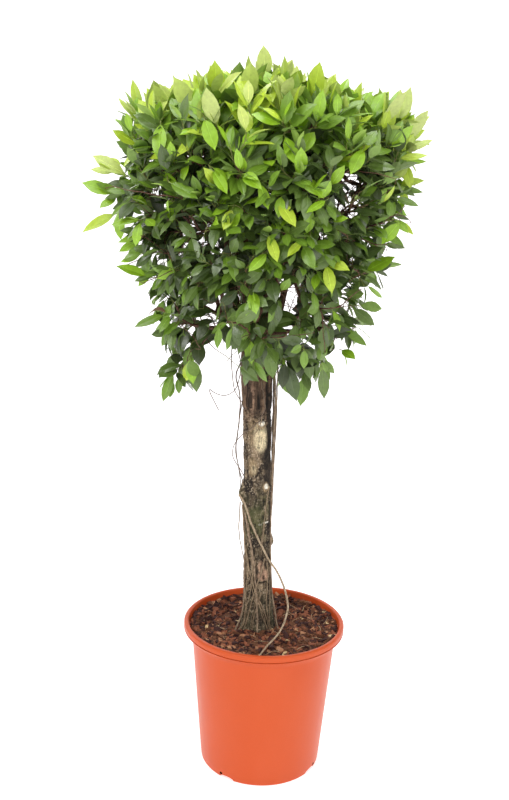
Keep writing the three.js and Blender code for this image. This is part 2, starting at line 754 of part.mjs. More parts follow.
function growMass(mass, masses, ends, limbs) {
  const random = seeded(CROWN_SEED + masses.indexOf(mass) * 17);
  const start = mass.entry.clone().addScaledVector(mass.entryWay, SEAT);
  const middle = start.clone().addScaledVector(mass.entryWay, 26);
  const stemEnd = new THREE.Vector3().lerpVectors(middle, mass.centre, 0.72);
  const growth = { mass, knots: [], twigs: [], shoots: [], leaves: [], outlines: [] };
  addKnots(growth.knots, start.clone().addScaledVector(mass.entryWay, 8), middle, 8);
  addKnots(growth.knots, middle, stemEnd, 30);
  const shoots = shootsOf(mass, masses, ends, random);
  shoots.sort((first, second) => first.end.distanceTo(start) - second.end.distanceTo(start));
  growTwigs(growth, shoots, masses, limbs);
  growth.shoots.sort((first, second) => Number(second.far) - Number(first.far));
  growth.shoots.forEach((shoot) => growEndLeaf(growth, shoot, masses, limbs, random));
  growth.shoots.forEach((shoot) => growSideLeaves(growth, shoot, masses, limbs, random));
  const stem = limbGeometry([start, middle, stemEnd], STEM.root, STEM.tip, STEM.sides, STEM.steps);
  const solids = [toSolid(stem)];
  for (const { from, to } of growth.twigs) {
    solids.push(toSolid(limbGeometry([from, to], TWIG.root, TWIG.tip, TWIG.sides, 1)));
  }
  solids.push(...growth.leaves.map((leaf) => toSolid(leafGeometry(leaf))));
  return piece(mass.name, toGeometry(largestBody(wasm.Manifold.union(solids))), COLOURS.foliage);
}

// ---- the whole plant ----

const group = new THREE.Group();
const limbs = [{ points: [256, 400, 560, 695, 800].map(trunkCentre), radii: [31, 20] }];
const masses = massList();
const outerEnds = shootEnds(OUTER_SHOOTS, OUTER_DEPTH);
const innerEnds = shootEnds(INNER_SHOOTS, INNER_DEPTH);
const ends = [...farEnds(), ...outerEnds, ...innerEnds];
const trunk = buildTrunk();
group.add(buildPot(), buildSoil(), trunk);
group.add(...buildAirRoots(limbs));
group.add(...buildBoughs(masses, limbs, trunk));
group.add(...masses.map((mass) => growMass(mass, masses, ends, limbs)));

export default group;
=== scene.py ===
import math

import bpy
import numpy as np
from mathutils import Matrix, Vector, noise


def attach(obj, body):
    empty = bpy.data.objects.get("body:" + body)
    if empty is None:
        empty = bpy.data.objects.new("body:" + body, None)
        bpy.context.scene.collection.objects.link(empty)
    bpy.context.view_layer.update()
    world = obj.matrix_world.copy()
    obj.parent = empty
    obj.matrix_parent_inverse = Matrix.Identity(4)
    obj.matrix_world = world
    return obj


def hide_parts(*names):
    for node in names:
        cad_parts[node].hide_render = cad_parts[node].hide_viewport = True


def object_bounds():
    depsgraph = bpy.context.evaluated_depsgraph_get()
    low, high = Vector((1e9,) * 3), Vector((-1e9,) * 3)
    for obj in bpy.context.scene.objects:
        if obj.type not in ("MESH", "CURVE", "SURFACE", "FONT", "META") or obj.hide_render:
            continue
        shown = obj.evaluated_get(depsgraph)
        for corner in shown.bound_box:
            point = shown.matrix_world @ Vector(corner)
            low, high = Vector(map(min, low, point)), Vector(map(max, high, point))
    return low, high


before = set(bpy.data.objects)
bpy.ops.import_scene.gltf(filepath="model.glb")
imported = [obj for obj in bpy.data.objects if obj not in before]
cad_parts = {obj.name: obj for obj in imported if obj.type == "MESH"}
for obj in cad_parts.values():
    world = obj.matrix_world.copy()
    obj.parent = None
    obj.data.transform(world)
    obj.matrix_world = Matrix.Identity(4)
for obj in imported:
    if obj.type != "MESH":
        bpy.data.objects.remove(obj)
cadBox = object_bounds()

# A small-leaved fig grown as a lollipop topiary, in a terracotta-coloured nursery pot.
# Metres, Z up, the pot's underside on the floor and the front towards -Y.

goldenTurn = math.pi * (3 - math.sqrt(5))


# small helpers for numbers

def table(rows, place, column=1):
    return np.interp(place, [row[0] for row in rows], [row[column] for row in rows])


def unit(way):
    way = np.asarray(way, float)
    return way / np.maximum(np.linalg.norm(way, axis=-1, keepdims=True), 1e-12)


def mm(numbers):
    return np.array(numbers) / 1000


def mixed(first, second, share):
    return np.asarray(first) * (1 - share) + np.asarray(second) * share


def compass(degrees, climb=0.0):
    turn, rise = math.radians(degrees), math.radians(climb)
    return np.array([math.cos(rise) * math.cos(turn), math.cos(rise) * math.sin(turn), math.sin(rise)])


def smooth(low, high, value):
    share = np.clip((np.asarray(value, float) - low) / (high - low), 0, 1)
    return share * share * (3 - 2 * share)


# small helpers for meshes: a part is vertices, triangles and one material number for each triangle

def part(verts, tris, finish=0):
    tris = np.asarray(tris, int).reshape(-1, 3)
    return [np.asarray(verts, float).reshape(-1, 3), tris, np.full(len(tris), finish)]


def joined(parts):
    shift, verts, tris, finishes = 0, [], [], []
    for v, t, f in parts:
        verts.append(v)
        tris.append(t + shift)
        finishes.append(f)
        shift += len(v)
    return [np.concatenate(verts), np.concatenate(tris), np.concatenate(finishes)]


def makePiece(name, shape, materials, replaces=(), tones=None):
    verts, tris, finishes = shape
    mesh = bpy.data.meshes.new(name)
    mesh.vertices.add(len(verts))
    mesh.vertices.foreach_set("co", verts.astype(np.float32).ravel())
    mesh.loops.add(3 * len(tris))
    mesh.loops.foreach_set("vertex_index", tris.astype(np.int32).ravel())
    mesh.polygons.add(len(tris))
    mesh.polygons.foreach_set("loop_start", np.arange(0, 3 * len(tris), 3, dtype=np.int32))
    mesh.polygons.foreach_set("use_smooth", np.ones(len(tris), bool))
    for material in materials:
        mesh.materials.append(material)
    mesh.polygons.foreach_set("material_index", finishes.astype(np.int32))
    mesh.update(calc_edges=True)
    mesh.validate()
    if tones is not None:
        layer = mesh.color_attributes.new("tone", "FLOAT_COLOR", "POINT")
        layer.data.foreach_set("color", np.c_[tones, np.ones(len(tones))].astype(np.float32).ravel())
    piece = bpy.data.objects.new(name, mesh)
    bpy.context.scene.collection.objects.link(piece)
    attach(piece, "root")
    if replaces:
        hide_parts(*replaces)
    return piece


def markSharp(piece, isRidge):
    # keeps a crease along every edge whose two ends are both marked with the same number
    mesh = piece.data
    ends = np.zeros(2 * len(mesh.edges), np.int32)
    mesh.edges.foreach_get("vertices", ends)
    first, second = isRidge[ends[0::2]], isRidge[ends[1::2]]
    sharp = (first & second) > 0
    layer = mesh.attributes.new("sharp_edge", "BOOLEAN", "EDGE")
    layer.data.foreach_set("value", sharp)


def gridTris(rows, columns, around=False):
    # triangles of a grid of rows x columns vertices, closed sideways if it goes around
    i, j = np.meshgrid(np.arange(rows - 1), np.arange(columns if around else columns - 1), indexing="ij")
    a = (i * columns + j).ravel()
    b = (i * columns + (j + 1) % columns).ravel()
    return np.concatenate([np.c_[a, b, b + columns], np.c_[a, b + columns, a + columns]])


def stackTris(rings, sides, footed=True):
    # triangles of rings stacked up, with a fan to a foot vertex, if there is one, and to a top vertex
    around = np.arange(sides)
    after, last, foot = (around + 1) % sides, (rings - 1) * sides, rings * sides
    fans = [np.c_[after, around, np.full(sides, foot)]] if footed else []
    fans.append(np.c_[last + around, last + after, np.full(sides, foot + footed)])
    return np.concatenate([gridTris(rings, sides, around=True)] + fans)


def tube(points, radii, sides, ridges=None):
    # a limb along points, its frames carried along without twist, closed to a point at both ends
    points = np.asarray(points, float)
    radii = np.broadcast_to(radii, len(points))
    ways = unit(np.gradient(points, axis=0))
    side = np.cross(ways[0], [0.31, 0.87, 0.21])
    turn = 2 * math.pi * np.arange(sides) / sides
    rings = []
    for i, (spot, way, radius) in enumerate(zip(points, ways, radii)):
        side = side - way * np.dot(side, way)
        side = side / max(np.linalg.norm(side), 1e-9)
        swell = radius if ridges is None else radius * (1 + ridges[i])
        other = np.cross(way, side)
        rings.append(spot + np.outer(np.cos(turn) * swell, side) + np.outer(np.sin(turn) * swell, other))
    ends = [points[:1] - ways[:1] * radii[0] * 0.3, points[-1:] + ways[-1:] * radii[-1]]
    return part(np.concatenate(rings + ends), stackTris(len(points), sides))


def pathRun(path):
    # how far along a path each of its points lies
    return np.r_[0, np.cumsum(np.linalg.norm(np.diff(path, axis=0), axis=1))]


def spotAt(path, run, at):
    return np.stack([np.interp(at, run, path[:, axis]) for axis in range(3)], axis=-1)


def smoothLine(points, steps, radii=None):
    # an even Catmull-Rom line through points; radii given at the points are carried with it
    points = np.asarray(points, float)
    padded = np.concatenate([2 * points[:1] - points[1:2], points, 2 * points[-1:] - points[-2:-1]])
    fine, along = [], []
    for i in range(len(points) - 1):
        p0, p1, p2, p3 = padded[i:i + 4]
        for t in np.linspace(0, 1, 12, endpoint=False):
            fine.append(0.5 * (2 * p1 + (p2 - p0) * t + (2 * p0 - 5 * p1 + 4 * p2 - p3) * t * t
                               + (3 * p1 - p0 - 3 * p2 + p3) * t ** 3))
            along.append(i + t)
    fine.append(points[-1])
    along.append(len(points) - 1)
    fine = np.array(fine)
    run = pathRun(fine)
    even = np.linspace(0, run[-1], steps + 1)
    line = spotAt(fine, run, even)
    if radii is None:
        return line
    return line, np.interp(np.interp(even, run, along), np.arange(len(points)), radii)


# small helpers for materials

class Finish:
    # a principled material whose nodes are added and wired in one line each
    def __init__(self, name, colour, roughness, specular=0.5):
        self.material = bpy.data.materials.new(name)
        self.material.use_nodes = True
        self.tree = self.material.node_tree
        self.shader = self.tree.nodes["Principled BSDF"]
        self.shader.inputs["Base Color"].default_value = (*colour, 1)
        self.shader.inputs["Roughness"].default_value = roughness
        self.shader.inputs["Specular IOR Level"].default_value = specular
        self.place = self.tree.nodes.new("ShaderNodeTexCoord").outputs["Object"]

    def wire(self, source, target):
        self.tree.links.new(source, target)

    def add(self, kind, output, inputs, **settings):
        # one node: each input is another node's output, a colour, or a plain value
        node = self.tree.nodes.new(kind)
        for key, value in settings.items():
            setattr(node, key, value)
        for key, value in inputs.items():
            if isinstance(value, bpy.types.NodeSocket):
                self.wire(value, node.inputs[key])
            else:
                isColour = node.inputs[key].type == "RGBA"
                node.inputs[key].default_value = (*value, 1) if isColour else value
        return node.outputs[output]

    def spot(self, stretch):
        if stretch is None:
            return self.place
        return self.add("ShaderNodeMapping", "Vector", {"Scale": stretch, "Vector": self.place})

    def grain(self, scale, detail=4.0, rough=0.55, stretch=None, warp=0.0):
        return self.add("ShaderNodeTexNoise", "Fac", {"Scale": scale, "Detail": detail, "Roughness": rough,
                                                      "Distortion": warp, "Vector": self.spot(stretch)})

    def cells(self, scale):
        return self.add("ShaderNodeTexVoronoi", "Distance", {"Scale": scale, "Vector": self.place})

    def ramp(self, source, stops):
        node = self.tree.nodes.new("ShaderNodeValToRGB")
        row = node.color_ramp.elements
        while len(row) < len(stops):
            row.new(0.5)
        for element, (place, colour) in zip(row, stops):
            element.position, element.color = place, (*colour, 1)
        self.wire(source, node.inputs["Fac"])
        return node.outputs["Color"]

    def levels(self, source, low, high, darkest=0.0, brightest=1.0):
        return self.add("ShaderNodeMapRange", "Result", {"Value": source, "From Min": low, "From Max": high,
                                                         "To Min": darkest, "To Max": brightest})

    def blend(self, first, second, share, how="MIX"):
        # a Mix node's colours are its inputs 6 and 7 and its output 2
        return self.add("ShaderNodeMix", 2, {6: first, 7: second, 0: share},
                        data_type="RGBA", blend_type=how)

    def tone(self):
        return self.add("ShaderNodeAttribute", "Color", {}, attribute_name="tone")

    def colour(self, source):
        self.wire(source, self.shader.inputs["Base Color"])

    def roughness(self, source, low, high):
        self.wire(self.levels(source, 0.2, 0.8, low, high), self.shader.inputs["Roughness"])

    def bump(self, *layers):
        # layers are (source, height in metres); the later ones lie on the earlier
        inputs = {"Strength": 1.0}
        for source, height in layers:
            inputs.update({"Distance": height, "Height": source})
            inputs["Normal"] = self.add("ShaderNodeBump", "Normal", inputs)
        self.wire(inputs["Normal"], self.shader.inputs["Normal"])


def streaked(name, dark, pale, grain, fade, rough, height, fine=None, specular=0.3):
    # a dull material that runs from dark to pale along its grain; fine is small bumps' scale and height
    made = Finish(name, dark, sum(rough) / 2, specular)
    streaks = made.grain(**grain)
    made.colour(made.blend(dark, pale, made.levels(streaks, *fade)))
    made.roughness(streaks, *rough)
    made.bump((streaks, height), *([(made.grain(fine[0], 3), fine[1])] if fine else []))
    return made.material


# camera, lights and the pale studio sweep

studio = {
    "lens": 40.5,
    "camera": (-0.031, -1.5733, 1.0299),
    "lookDown": 11.99,                  # degrees under level
    "roll": 1.84,
    "paper": (0.80, 0.79, 0.80),
    "paperGlow": 0.62,                  # the paper's own light, so that it stays near white
    "farGlow": 0.76,
    "wallGlow": (0.0, 0.62),            # at the front and at the back of the wall
    "behind": (0.6, 2.8),               # between these places in y the glow changes from front to back
    "raised": (0.1, 0.9),               # and between these heights from the floor's to the wall's
    "reach": 5.2,                       # radius of the flat floor
    "bend": 1.0,
    "wall": 4.6,
    "sides": 96,
    "sky": 0.42,
    "aim": (-0.02, 0, 0.85),            # where the lamps point
}
lamps = [
    # name, place, size, watts
    ("keyLeft", (-1.4, -2.0, 2.4), 1.2, 33.5),
    ("fillRight", (1.8, -1.6, 1.5), 1.6, 12.5),
    ("topSoft", (0.1, -0.2, 2.8), 1.5, 26),
    ("backLeft", (-0.9, 1.3, 1.9), 1.0, 10),
]


def buildCameraAndLamps():
    scene = bpy.context.scene
    lens = bpy.data.cameras.new("camera")
    lens.lens, lens.sensor_width, lens.clip_end = studio["lens"], 36, 60
    camera = bpy.data.objects.new("camera", lens)
    tilt = Matrix.Rotation(math.radians(90 - studio["lookDown"]), 4, "X")
    roll = Matrix.Rotation(math.radians(studio["roll"]), 4, "Z")
    camera.matrix_world = Matrix.Translation(studio["camera"]) @ tilt @ roll
    scene.collection.objects.link(camera)
    scene.camera = camera
    for name, place, size, watts in lamps:
        light = bpy.data.lights.new(name, "AREA")
        light.size, light.energy = size, watts
        lamp = bpy.data.objects.new(name, light)
        lamp.location = place
        aim = Vector(studio["aim"]) - Vector(place)
        lamp.rotation_euler = aim.to_track_quat("-Z", "Y").to_euler()
        scene.collection.objects.link(lamp)
    world = bpy.data.worlds.new("studio")
    world.use_nodes = True
    sky = world.node_tree.nodes["Background"].inputs
    sky["Color"].default_value, sky["Strength"].default_value = (1, 0.99, 0.99, 1), studio["sky"]
    scene.world = world
    scene.view_settings.view_transform = "Standard"


def buildBackdrop():
    # a round floor that turns up into a wall all round, so that each side has the same pale ground
    sides, bend, reach = studio["sides"], studio["bend"], studio["reach"]
    profile = [(r, 0.0) for r in (0.5, 1.0, 1.6, 2.2, 2.8, 3.6, 4.4, reach)]
    for t in np.linspace(0.1, math.pi / 2, 14):
        profile.append((reach + bend * math.sin(t), bend * (1 - math.cos(t))))
    profile.append((reach + bend, studio["wall"]))
    verts = [(r * math.sin(2 * math.pi * j / sides), r * math.cos(2 * math.pi * j / sides), z)
             for r, z in profile for j in range(sides)] + [(0, 0, 0)]
    faces = [(len(verts) - 1, (j + 1) % sides, j) for j in range(sides)]
    for row in range(0, (len(profile) - 1) * sides, sides):
        for j in range(sides):
            after = (j + 1) % sides
            faces.append((row + j, row + after, row + sides + after, row + sides + j))
    sweep = bpy.data.meshes.new("studioSweep")
    sweep.from_pydata(verts, [], faces)
    sweep.polygons.foreach_set("use_smooth", [True] * len(faces))
    spots = np.array(verts)
    behind, raised = smooth(*studio["behind"], spots[:, 1]), smooth(*studio["raised"], spots[:, 2])
    onFloor = mixed(studio["paperGlow"], studio["farGlow"], behind)
    glow = mixed(onFloor, mixed(*studio["wallGlow"], behind), raised)
    tint = sweep.color_attributes.new("tone", "FLOAT_COLOR", "POINT")
    tint.data.foreach_set("color", np.c_[glow, glow * 0.985, glow * 0.985, np.ones(len(glow))].ravel())
    paper = Finish("studioPaper", studio["paper"], 0.7, 0.2)
    paper.wire(paper.tone(), paper.shader.inputs["Emission Color"])
    paper.shader.inputs["Emission Strength"].default_value = 1.0
    paper.bump((paper.grain(900, 3), 0.00005))
    sweep.materials.append(paper.material)
    floor = bpy.data.objects.new("studioSweep", sweep)
    bpy.context.scene.collection.objects.link(floor)


buildCameraAndLamps()
buildBackdrop()
print("studio ready")


# pot: turned plastic with a rolled rim, feet notches and drain holes

pot = {
    "height": 0.275,
    "rimRadius": 0.150,
    "rimBand": 0.014,
    "mouthRadius": 0.1415,
    "baseRadius": 0.1128,
    "shoulderRadius": 0.1353,
    "wall": 0.0038,
    "floor": 0.010,
    "sides": 160,
    "colour": (0.605, 0.083, 0.0135),
    "groove": (0.0018, 0.0014, 0.0022),  # how far up the band it starts, how tall and how deep it is
    "notch": {"width": 0.030, "height": 0.006, "depth": 0.009, "sides": (-122.5, -32.5, 57.5, 147.5)},
    "drainRadius": 0.0035,
    # a small slot at one end of each notch, painted near-black as the shade inside it
    "slot": {"radius": 0.0030, "level": 0.0074, "depth": 0.007, "aside": 0.41, "ends": (-1, 1, -1, 1)},
}


def arc(centre, radius, start, end, count=6):
    turns = np.radians(np.linspace(start, end, count))
    return [(centre[0] + radius * math.cos(t), centre[1] + radius * math.sin(t)) for t in turns]


def potProfile():
    h, rim, band = pot["height"], pot["rimRadius"], pot["rimBand"]
    base, shoulder, mouth = pot["baseRadius"], pot["shoulderRadius"], pot["mouthRadius"]
    wallTop, lip, curl, slope = h - band, 0.0036, 0.0022, shoulder - base
    low, tall, deep = pot["groove"]
    inner = wallTop - 0.005
    wallIn = base + slope * inner / wallTop - pot["wall"]
    rows = [(0, 0.0016), (base * 0.82, 0.0016), (base * 0.84, 0), (base - 0.0025, 0)]
    rows += arc((base - curl, curl), curl, -80, 0, 5)
    rows += [(base + slope * share, wallTop * share) for share in np.linspace(0.04, 0.93, 14)]
    rows += [(shoulder - 0.0006, wallTop - 0.0100),
             (shoulder + 0.0010, wallTop - 0.0080),         # a faint step under the rim
             (shoulder + 0.0012, wallTop - curl)]
    rows += arc((shoulder + 0.0034, wallTop - curl), curl, 180, 100, 4)
    rows += arc((rim - low, wallTop + low), low, -90, 0, 5)
    rows += [(rim - deep, wallTop + low + 0.0003), (rim - deep, wallTop + low + tall),
             (rim - 0.0004, wallTop + low + tall + 0.0002), (rim - 0.0001, wallTop + band * 0.5)]
    rows += arc((rim - lip, h - lip), lip, 5, 90, 7)
    rows += arc((mouth + curl, h - curl), curl, 95, 178, 5)
    rows += [(mouth - 0.0006, wallTop + 0.0040), (mouth - 0.0014, wallTop + 0.0020),
             (mouth - 0.0034, wallTop + 0.0012), (shoulder - 0.0014, wallTop + 0.0004),
             (wallIn + 0.0008, inner - 0.003), (wallIn, inner - 0.008)]
    rows += [(base + slope * 0.5 - pot["wall"], wallTop * 0.5),
             (base + slope * 0.04 - pot["wall"], pot["floor"] + 0.003),
             (base - pot["wall"] - 0.004, pot["floor"]), (0, pot["floor"])]
    return rows


def turned(profile, sides):
    # a lathe whose first and last rows lie on the axis
    turns = 2 * math.pi * np.arange(sides) / sides
    rings = [np.c_[r * np.cos(turns), r * np.sin(turns), np.full(sides, z)] for r, z in profile[1:-1]]
    verts = np.concatenate(rings + [[(0, 0, profile[0][1])], [(0, 0, profile[-1][1])]])
    return part(verts, stackTris(len(rings), sides))


def plainObject(name, shape):
    mesh = bpy.data.meshes.new(name)
    mesh.from_pydata(shape[0].tolist(), [], shape[1].tolist())
    thing = bpy.data.objects.new(name, mesh)
    bpy.context.scene.collection.objects.link(thing)
    return thing


def spun(degrees, axis="Z"):
    return np.array(Matrix.Rotation(math.radians(degrees), 3, axis))


def potCutters():
    # an arched block through the foot of the wall and a drill just inside it, at each notch
    notch, parts = pot["notch"], []
    half = notch["width"] / 2
    arch = [(-half, -0.004), (half, -0.004), (half, 0.0004)]
    for t in np.linspace(0.06, 0.94, 13):
        arch.append((half * math.cos(math.pi * t), notch["height"] * math.sin(math.pi * t) ** 0.7))
    arch.append((-half, 0.0004))
    count = len(arch)
    near, far = pot["baseRadius"] - notch["depth"], pot["baseRadius"] + 0.02
    for side in notch["sides"]:
        spin = spun(side)
        verts = [(near, x, z) for x, z in arch] + [(far, x, z) for x, z in arch]
        tris = [(i, (i + 1) % count, count + (i + 1) % count) for i in range(count)]
        tris += [(i, count + (i + 1) % count, count + i) for i in range(count)]
        tris += [(0, i + 1, i) for i in range(1, count - 1)]
        tris += [(count, count + i, count + i + 1) for i in range(1, count - 1)]
        parts.append(part(np.array(verts) @ spin.T, tris))
        radius = pot["drainRadius"]
        drill = turned([(0, -0.01), (radius, -0.01), (radius, 0.03), (0, 0.03)], 20)
        drill[0] = (drill[0] + (near - 2 * radius, 0, 0)) @ spin.T
        parts.append(drill)
    for side, end in zip(notch["sides"], pot["slot"]["ends"]):
        slot, place = pot["slot"], slotPlace(side, end)
        bore = turned([(0, 0), (slot["radius"], 0), (slot["radius"], 0.03), (0, 0.03)], 16)
        bore[0] = (bore[0] @ spun(90, "Y").T) @ spun(side).T + place
        parts.append(bore)
    return plainObject("potCutters", joined(parts))


def slotPlace(side, end):
    # the inner end of a notch's slot
    slot = pot["slot"]
    reach, aside = pot["baseRadius"] - slot["depth"], end * pot["notch"]["width"] * slot["aside"]
    return spun(side) @ np.array([reach, aside, slot["level"]])


def applied(thing):
    # the mesh as its modifiers leave it
    seen = thing.evaluated_get(bpy.context.evaluated_depsgraph_get())
    mesh = bpy.data.meshes.new_from_object(seen)
    thing.modifiers.clear()
    old = thing.data
    thing.data = mesh
    bpy.data.meshes.remove(old)


def buildPot():
    shell = plainObject("potShell", turned(potProfile(), pot["sides"]))
    cutters = potCutters()
    cut = shell.modifiers.new("notches", "BOOLEAN")
    cut.operation, cut.object, cut.solver, cut.use_self = "DIFFERENCE", cutters, "EXACT", True
    applied(shell)
    bpy.data.objects.remove(cutters)
    mesh = shell.data
    mesh.polygons.foreach_set("use_smooth", [True] * len(mesh.polygons))
    mesh.set_sharp_from_angle(angle=math.radians(38))
    plastic = Finish("terracottaPlastic", pot["colour"], 0.34, 0.24)
    drift = plastic.grain(7, 3, stretch=(1, 1, 0.5))
    specks = plastic.grain(1400, 2)
    flow = plastic.grain(60, 3, stretch=(1, 1, 0.06))
    dusty = mixed(pot["colour"], (0.72, 0.28, 0.18), 0.06)
    deeper = mixed(pot["colour"], 0, 0.05)
    body = plastic.blend(tuple(deeper), tuple(dusty), plastic.levels(drift, 0.3, 0.7))
    speckled = plastic.ramp(specks, [(0.35, (0.86,) * 3), (0.6, (1.0,) * 3)])
    plastic.colour(plastic.blend(body, speckled, 0.5, "MULTIPLY"))
    plastic.roughness(flow, 0.30, 0.42)
    plastic.bump((flow, 0.00012), (specks, 0.00003), (plastic.grain(16, 2), 0.0004))
    mesh.materials.clear()
    mesh.materials.append(plastic.material)
    # the slot's bore faces take a near-black finish: painted shade for the shadowed inside of the slot
    slotShade = Finish("paintedSlotShade", (0.012, 0.006, 0.004), 0.9, 0.1)
    slotShade.bump((slotShade.grain(900, 3), 0.0002))
    mesh.materials.append(slotShade.material)
    centres = np.array([face.center for face in mesh.polygons])
    inSlot = np.zeros(len(centres), int)
    for side, end in zip(pot["notch"]["sides"], pot["slot"]["ends"]):
        deep, aside, above = ((centres - slotPlace(side, end)) @ spun(side)).T
        near = np.hypot(aside, above) < pot["slot"]["radius"] * 1.02
        inSlot |= near & (-0.001 < deep) & (deep < pot["slot"]["depth"] - 0.0004)
    mesh.polygons.foreach_set("material_index", inSlot)
    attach(shell, "root")
    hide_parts("pot")


buildPot()
print("pot turned")


# soil: a lumpy bed with coarse bark chips strewn over it

soil = {
    "level": 0.2605,
    "bump": 0.0032,
    "trunkAside": 0.012,                # how far the trunk's foot stands to the left
    "rings": 46,
    "sides": 168,
    "chips": 7800,
    "chipSize": (0.0023, 0.0098),
    "seed": 11,
    "gap": 0.0020,                      # between the bed and the pot's wall
    "lean": 0.34,                       # how much the chips lie askew
    "byTrunk": 0.040,                   # nearer than this the chips lie flatter
}
soilReach = pot["mouthRadius"] - soil["gap"]
chipKinds = [
    # name, share of the chips, colour, colour of its paler grain
    ("chipsDark", 0.40, (0.034, 0.013, 0.011), (0.084, 0.032, 0.026)),
    ("chipsBrown", 0.29, (0.090, 0.036, 0.017), (0.185, 0.076, 0.038)),
    ("chipsRed", 0.23, (0.200, 0.062, 0.030), (0.340, 0.125, 0.065)),
    ("chipsTan", 0.065, (0.380, 0.170, 0.085), (0.540, 0.280, 0.150)),
    ("chipsPale", 0.012, (0.640, 0.430, 0.190), (0.820, 0.640, 0.360)),
]
chipLook = {"grain": {"scale": 520, "detail": 5, "rough": 0.6, "stretch": (1, 0.35, 1), "warp": 0.4},
            "fade": (0.38, 0.66), "rough": (0.7, 0.95), "height": 0.0006, "fine": (1500, 0.0003),
            "specular": 0.25}
threads = {"count": 46, "ring": (0.045, 0.118), "length": (0.010, 0.034), "radius": (0.0003, 0.0007),
           "dark": (0.30, 0.17, 0.09), "pale": (0.62, 0.46, 0.28),
           "look": {"grain": {"scale": 900, "detail": 3}, "fade": (0.35, 0.65), "rough": (0.65, 0.9),
                    "height": 0.0002}}


def soilHeight(x, y):
    # the source's own lumps, a few millimetres up where the chips lie heaped
    xm, ym = x * 1000, y * 1000
    fromTrunk = np.hypot(x + soil["trunkAside"], y)
    lump = np.sin(xm * 0.083 + 1.1) * np.cos(ym * 0.071 - 0.6) + 0.5 * np.sin(xm * 0.19 - ym * 0.16)
    atWall = smooth(0.118, 0.137, np.hypot(x, y))
    pad = smooth(0.050, 0.072, fromTrunk) * (1 - 0.85 * atWall)
    return soil["level"] - 0.0003 + pad * soil["bump"] * (lump - 0.3) * 0.7 + 0.0034 * atWall


def buildSoil():
    sides = soil["sides"]
    turns = 2 * math.pi * np.arange(sides) / sides
    rows = []
    for ring in range(soil["rings"]):
        r = soilReach * (1 - (ring / soil["rings"]) ** 1.1)
        x, y = r * np.cos(turns), r * np.sin(turns)
        z = soilHeight(x, y)
        crumb = [noise.fractal((a * 120, b * 120, 3.1), 0.7, 2.1, 4) for a, b in zip(x, y)]
        rows.append(np.c_[x, y, z + np.array(crumb) * 0.0016 - 0.001])
    skirt = rows[0].copy()
    skirt[:, :2] *= 0.90
    skirt[:, 2] -= 0.015
    verts = np.concatenate([skirt] + rows + [[(0, 0, soil["level"] - 0.002)]])
    mulch = Finish("mulchBed", (0.05, 0.022, 0.014), 0.95, 0.2)
    crumbs = mulch.grain(260, 6, 0.65)
    mulch.colour(mulch.ramp(crumbs, [(0.3, (0.016, 0.008, 0.006)), (0.52, (0.055, 0.024, 0.015)),
                                     (0.72, (0.13, 0.055, 0.030))]))
    mulch.roughness(crumbs, 0.85, 1.0)
    mulch.bump((mulch.cells(190), 0.0016), (crumbs, 0.0012))
    shape = part(verts, stackTris(len(rows) + 1, sides, footed=False))
    makePiece("soilBed", shape, [mulch.material], ["soil"])


def chipShape(rng, size, long, thick):
    # a split shard: a box whose corners are pulled about, with one end drawn narrow
    corners = np.array([(x, y, z) for z in (-1, 1) for y in (-1, 1) for x in (-1, 1)], float)
    corners += rng.uniform(-0.34, 0.34, corners.shape)
    corners[:, 1] *= np.where(corners[:, 0] > 0, rng.uniform(0.25, 1.0), 1.0)
    corners *= (size * long / 2, size / 2, thick / 2)
    faces = [(0, 2, 3), (0, 3, 1), (4, 5, 7), (4, 7, 6), (0, 1, 5), (0, 5, 4), (2, 6, 7), (2, 7, 3),
             (0, 4, 6), (0, 6, 2), (1, 3, 7), (1, 7, 5)]
    return corners, faces


def buildChips():
    rng = np.random.default_rng(soil["seed"])
    small, big = soil["chipSize"]
    parts = {kind[0]: [] for kind in chipKinds}
    shares = np.cumsum([kind[1] for kind in chipKinds])
    for i in range(soil["chips"]):
        r = (soilReach - 0.003) * math.sqrt(rng.uniform(0.02, 1))
        turn = rng.uniform(0, 2 * math.pi)
        x, y = r * math.cos(turn), r * math.sin(turn)
        pick = rng.uniform(0, shares[-1])
        kind = chipKinds[int(np.searchsorted(shares, pick))][0]
        size = small + (big - small) * rng.uniform(0, 1) ** 2.4
        thick = size * rng.uniform(0.22, 0.5)
        long = rng.uniform(1.0, 2.1)
        corners, faces = chipShape(rng, size, long, thick)
        nearTrunk = math.hypot(x + soil["trunkAside"], y) < soil["byTrunk"]
        lean = Matrix.Rotation(rng.normal(0, soil["lean"]), 3, "X")
        lean = lean @ Matrix.Rotation(rng.normal(0, soil["lean"]), 3, "Y")
        spin = Matrix.Rotation(rng.uniform(0, 2 * math.pi), 3, "Z")
        z = float(soilHeight(x, y)) + rng.uniform(-0.3, 0.9) * thick * (0.4 if nearTrunk else 1.0)
        corners = corners @ np.array(spin @ lean).T + (x, y, z)
        out = np.hypot(corners[:, 0], corners[:, 1]).max()
        if out > soilReach:
            corners[:, :2] *= soilReach / out
        parts[kind].append(part(corners, faces))
    for name, share, colour, grain in chipKinds:
        piece = makePiece(name, joined(parts[name]), [streaked(name, colour, grain, **chipLook)])
        piece.data.polygons.foreach_set("use_smooth", [False] * len(piece.data.polygons))


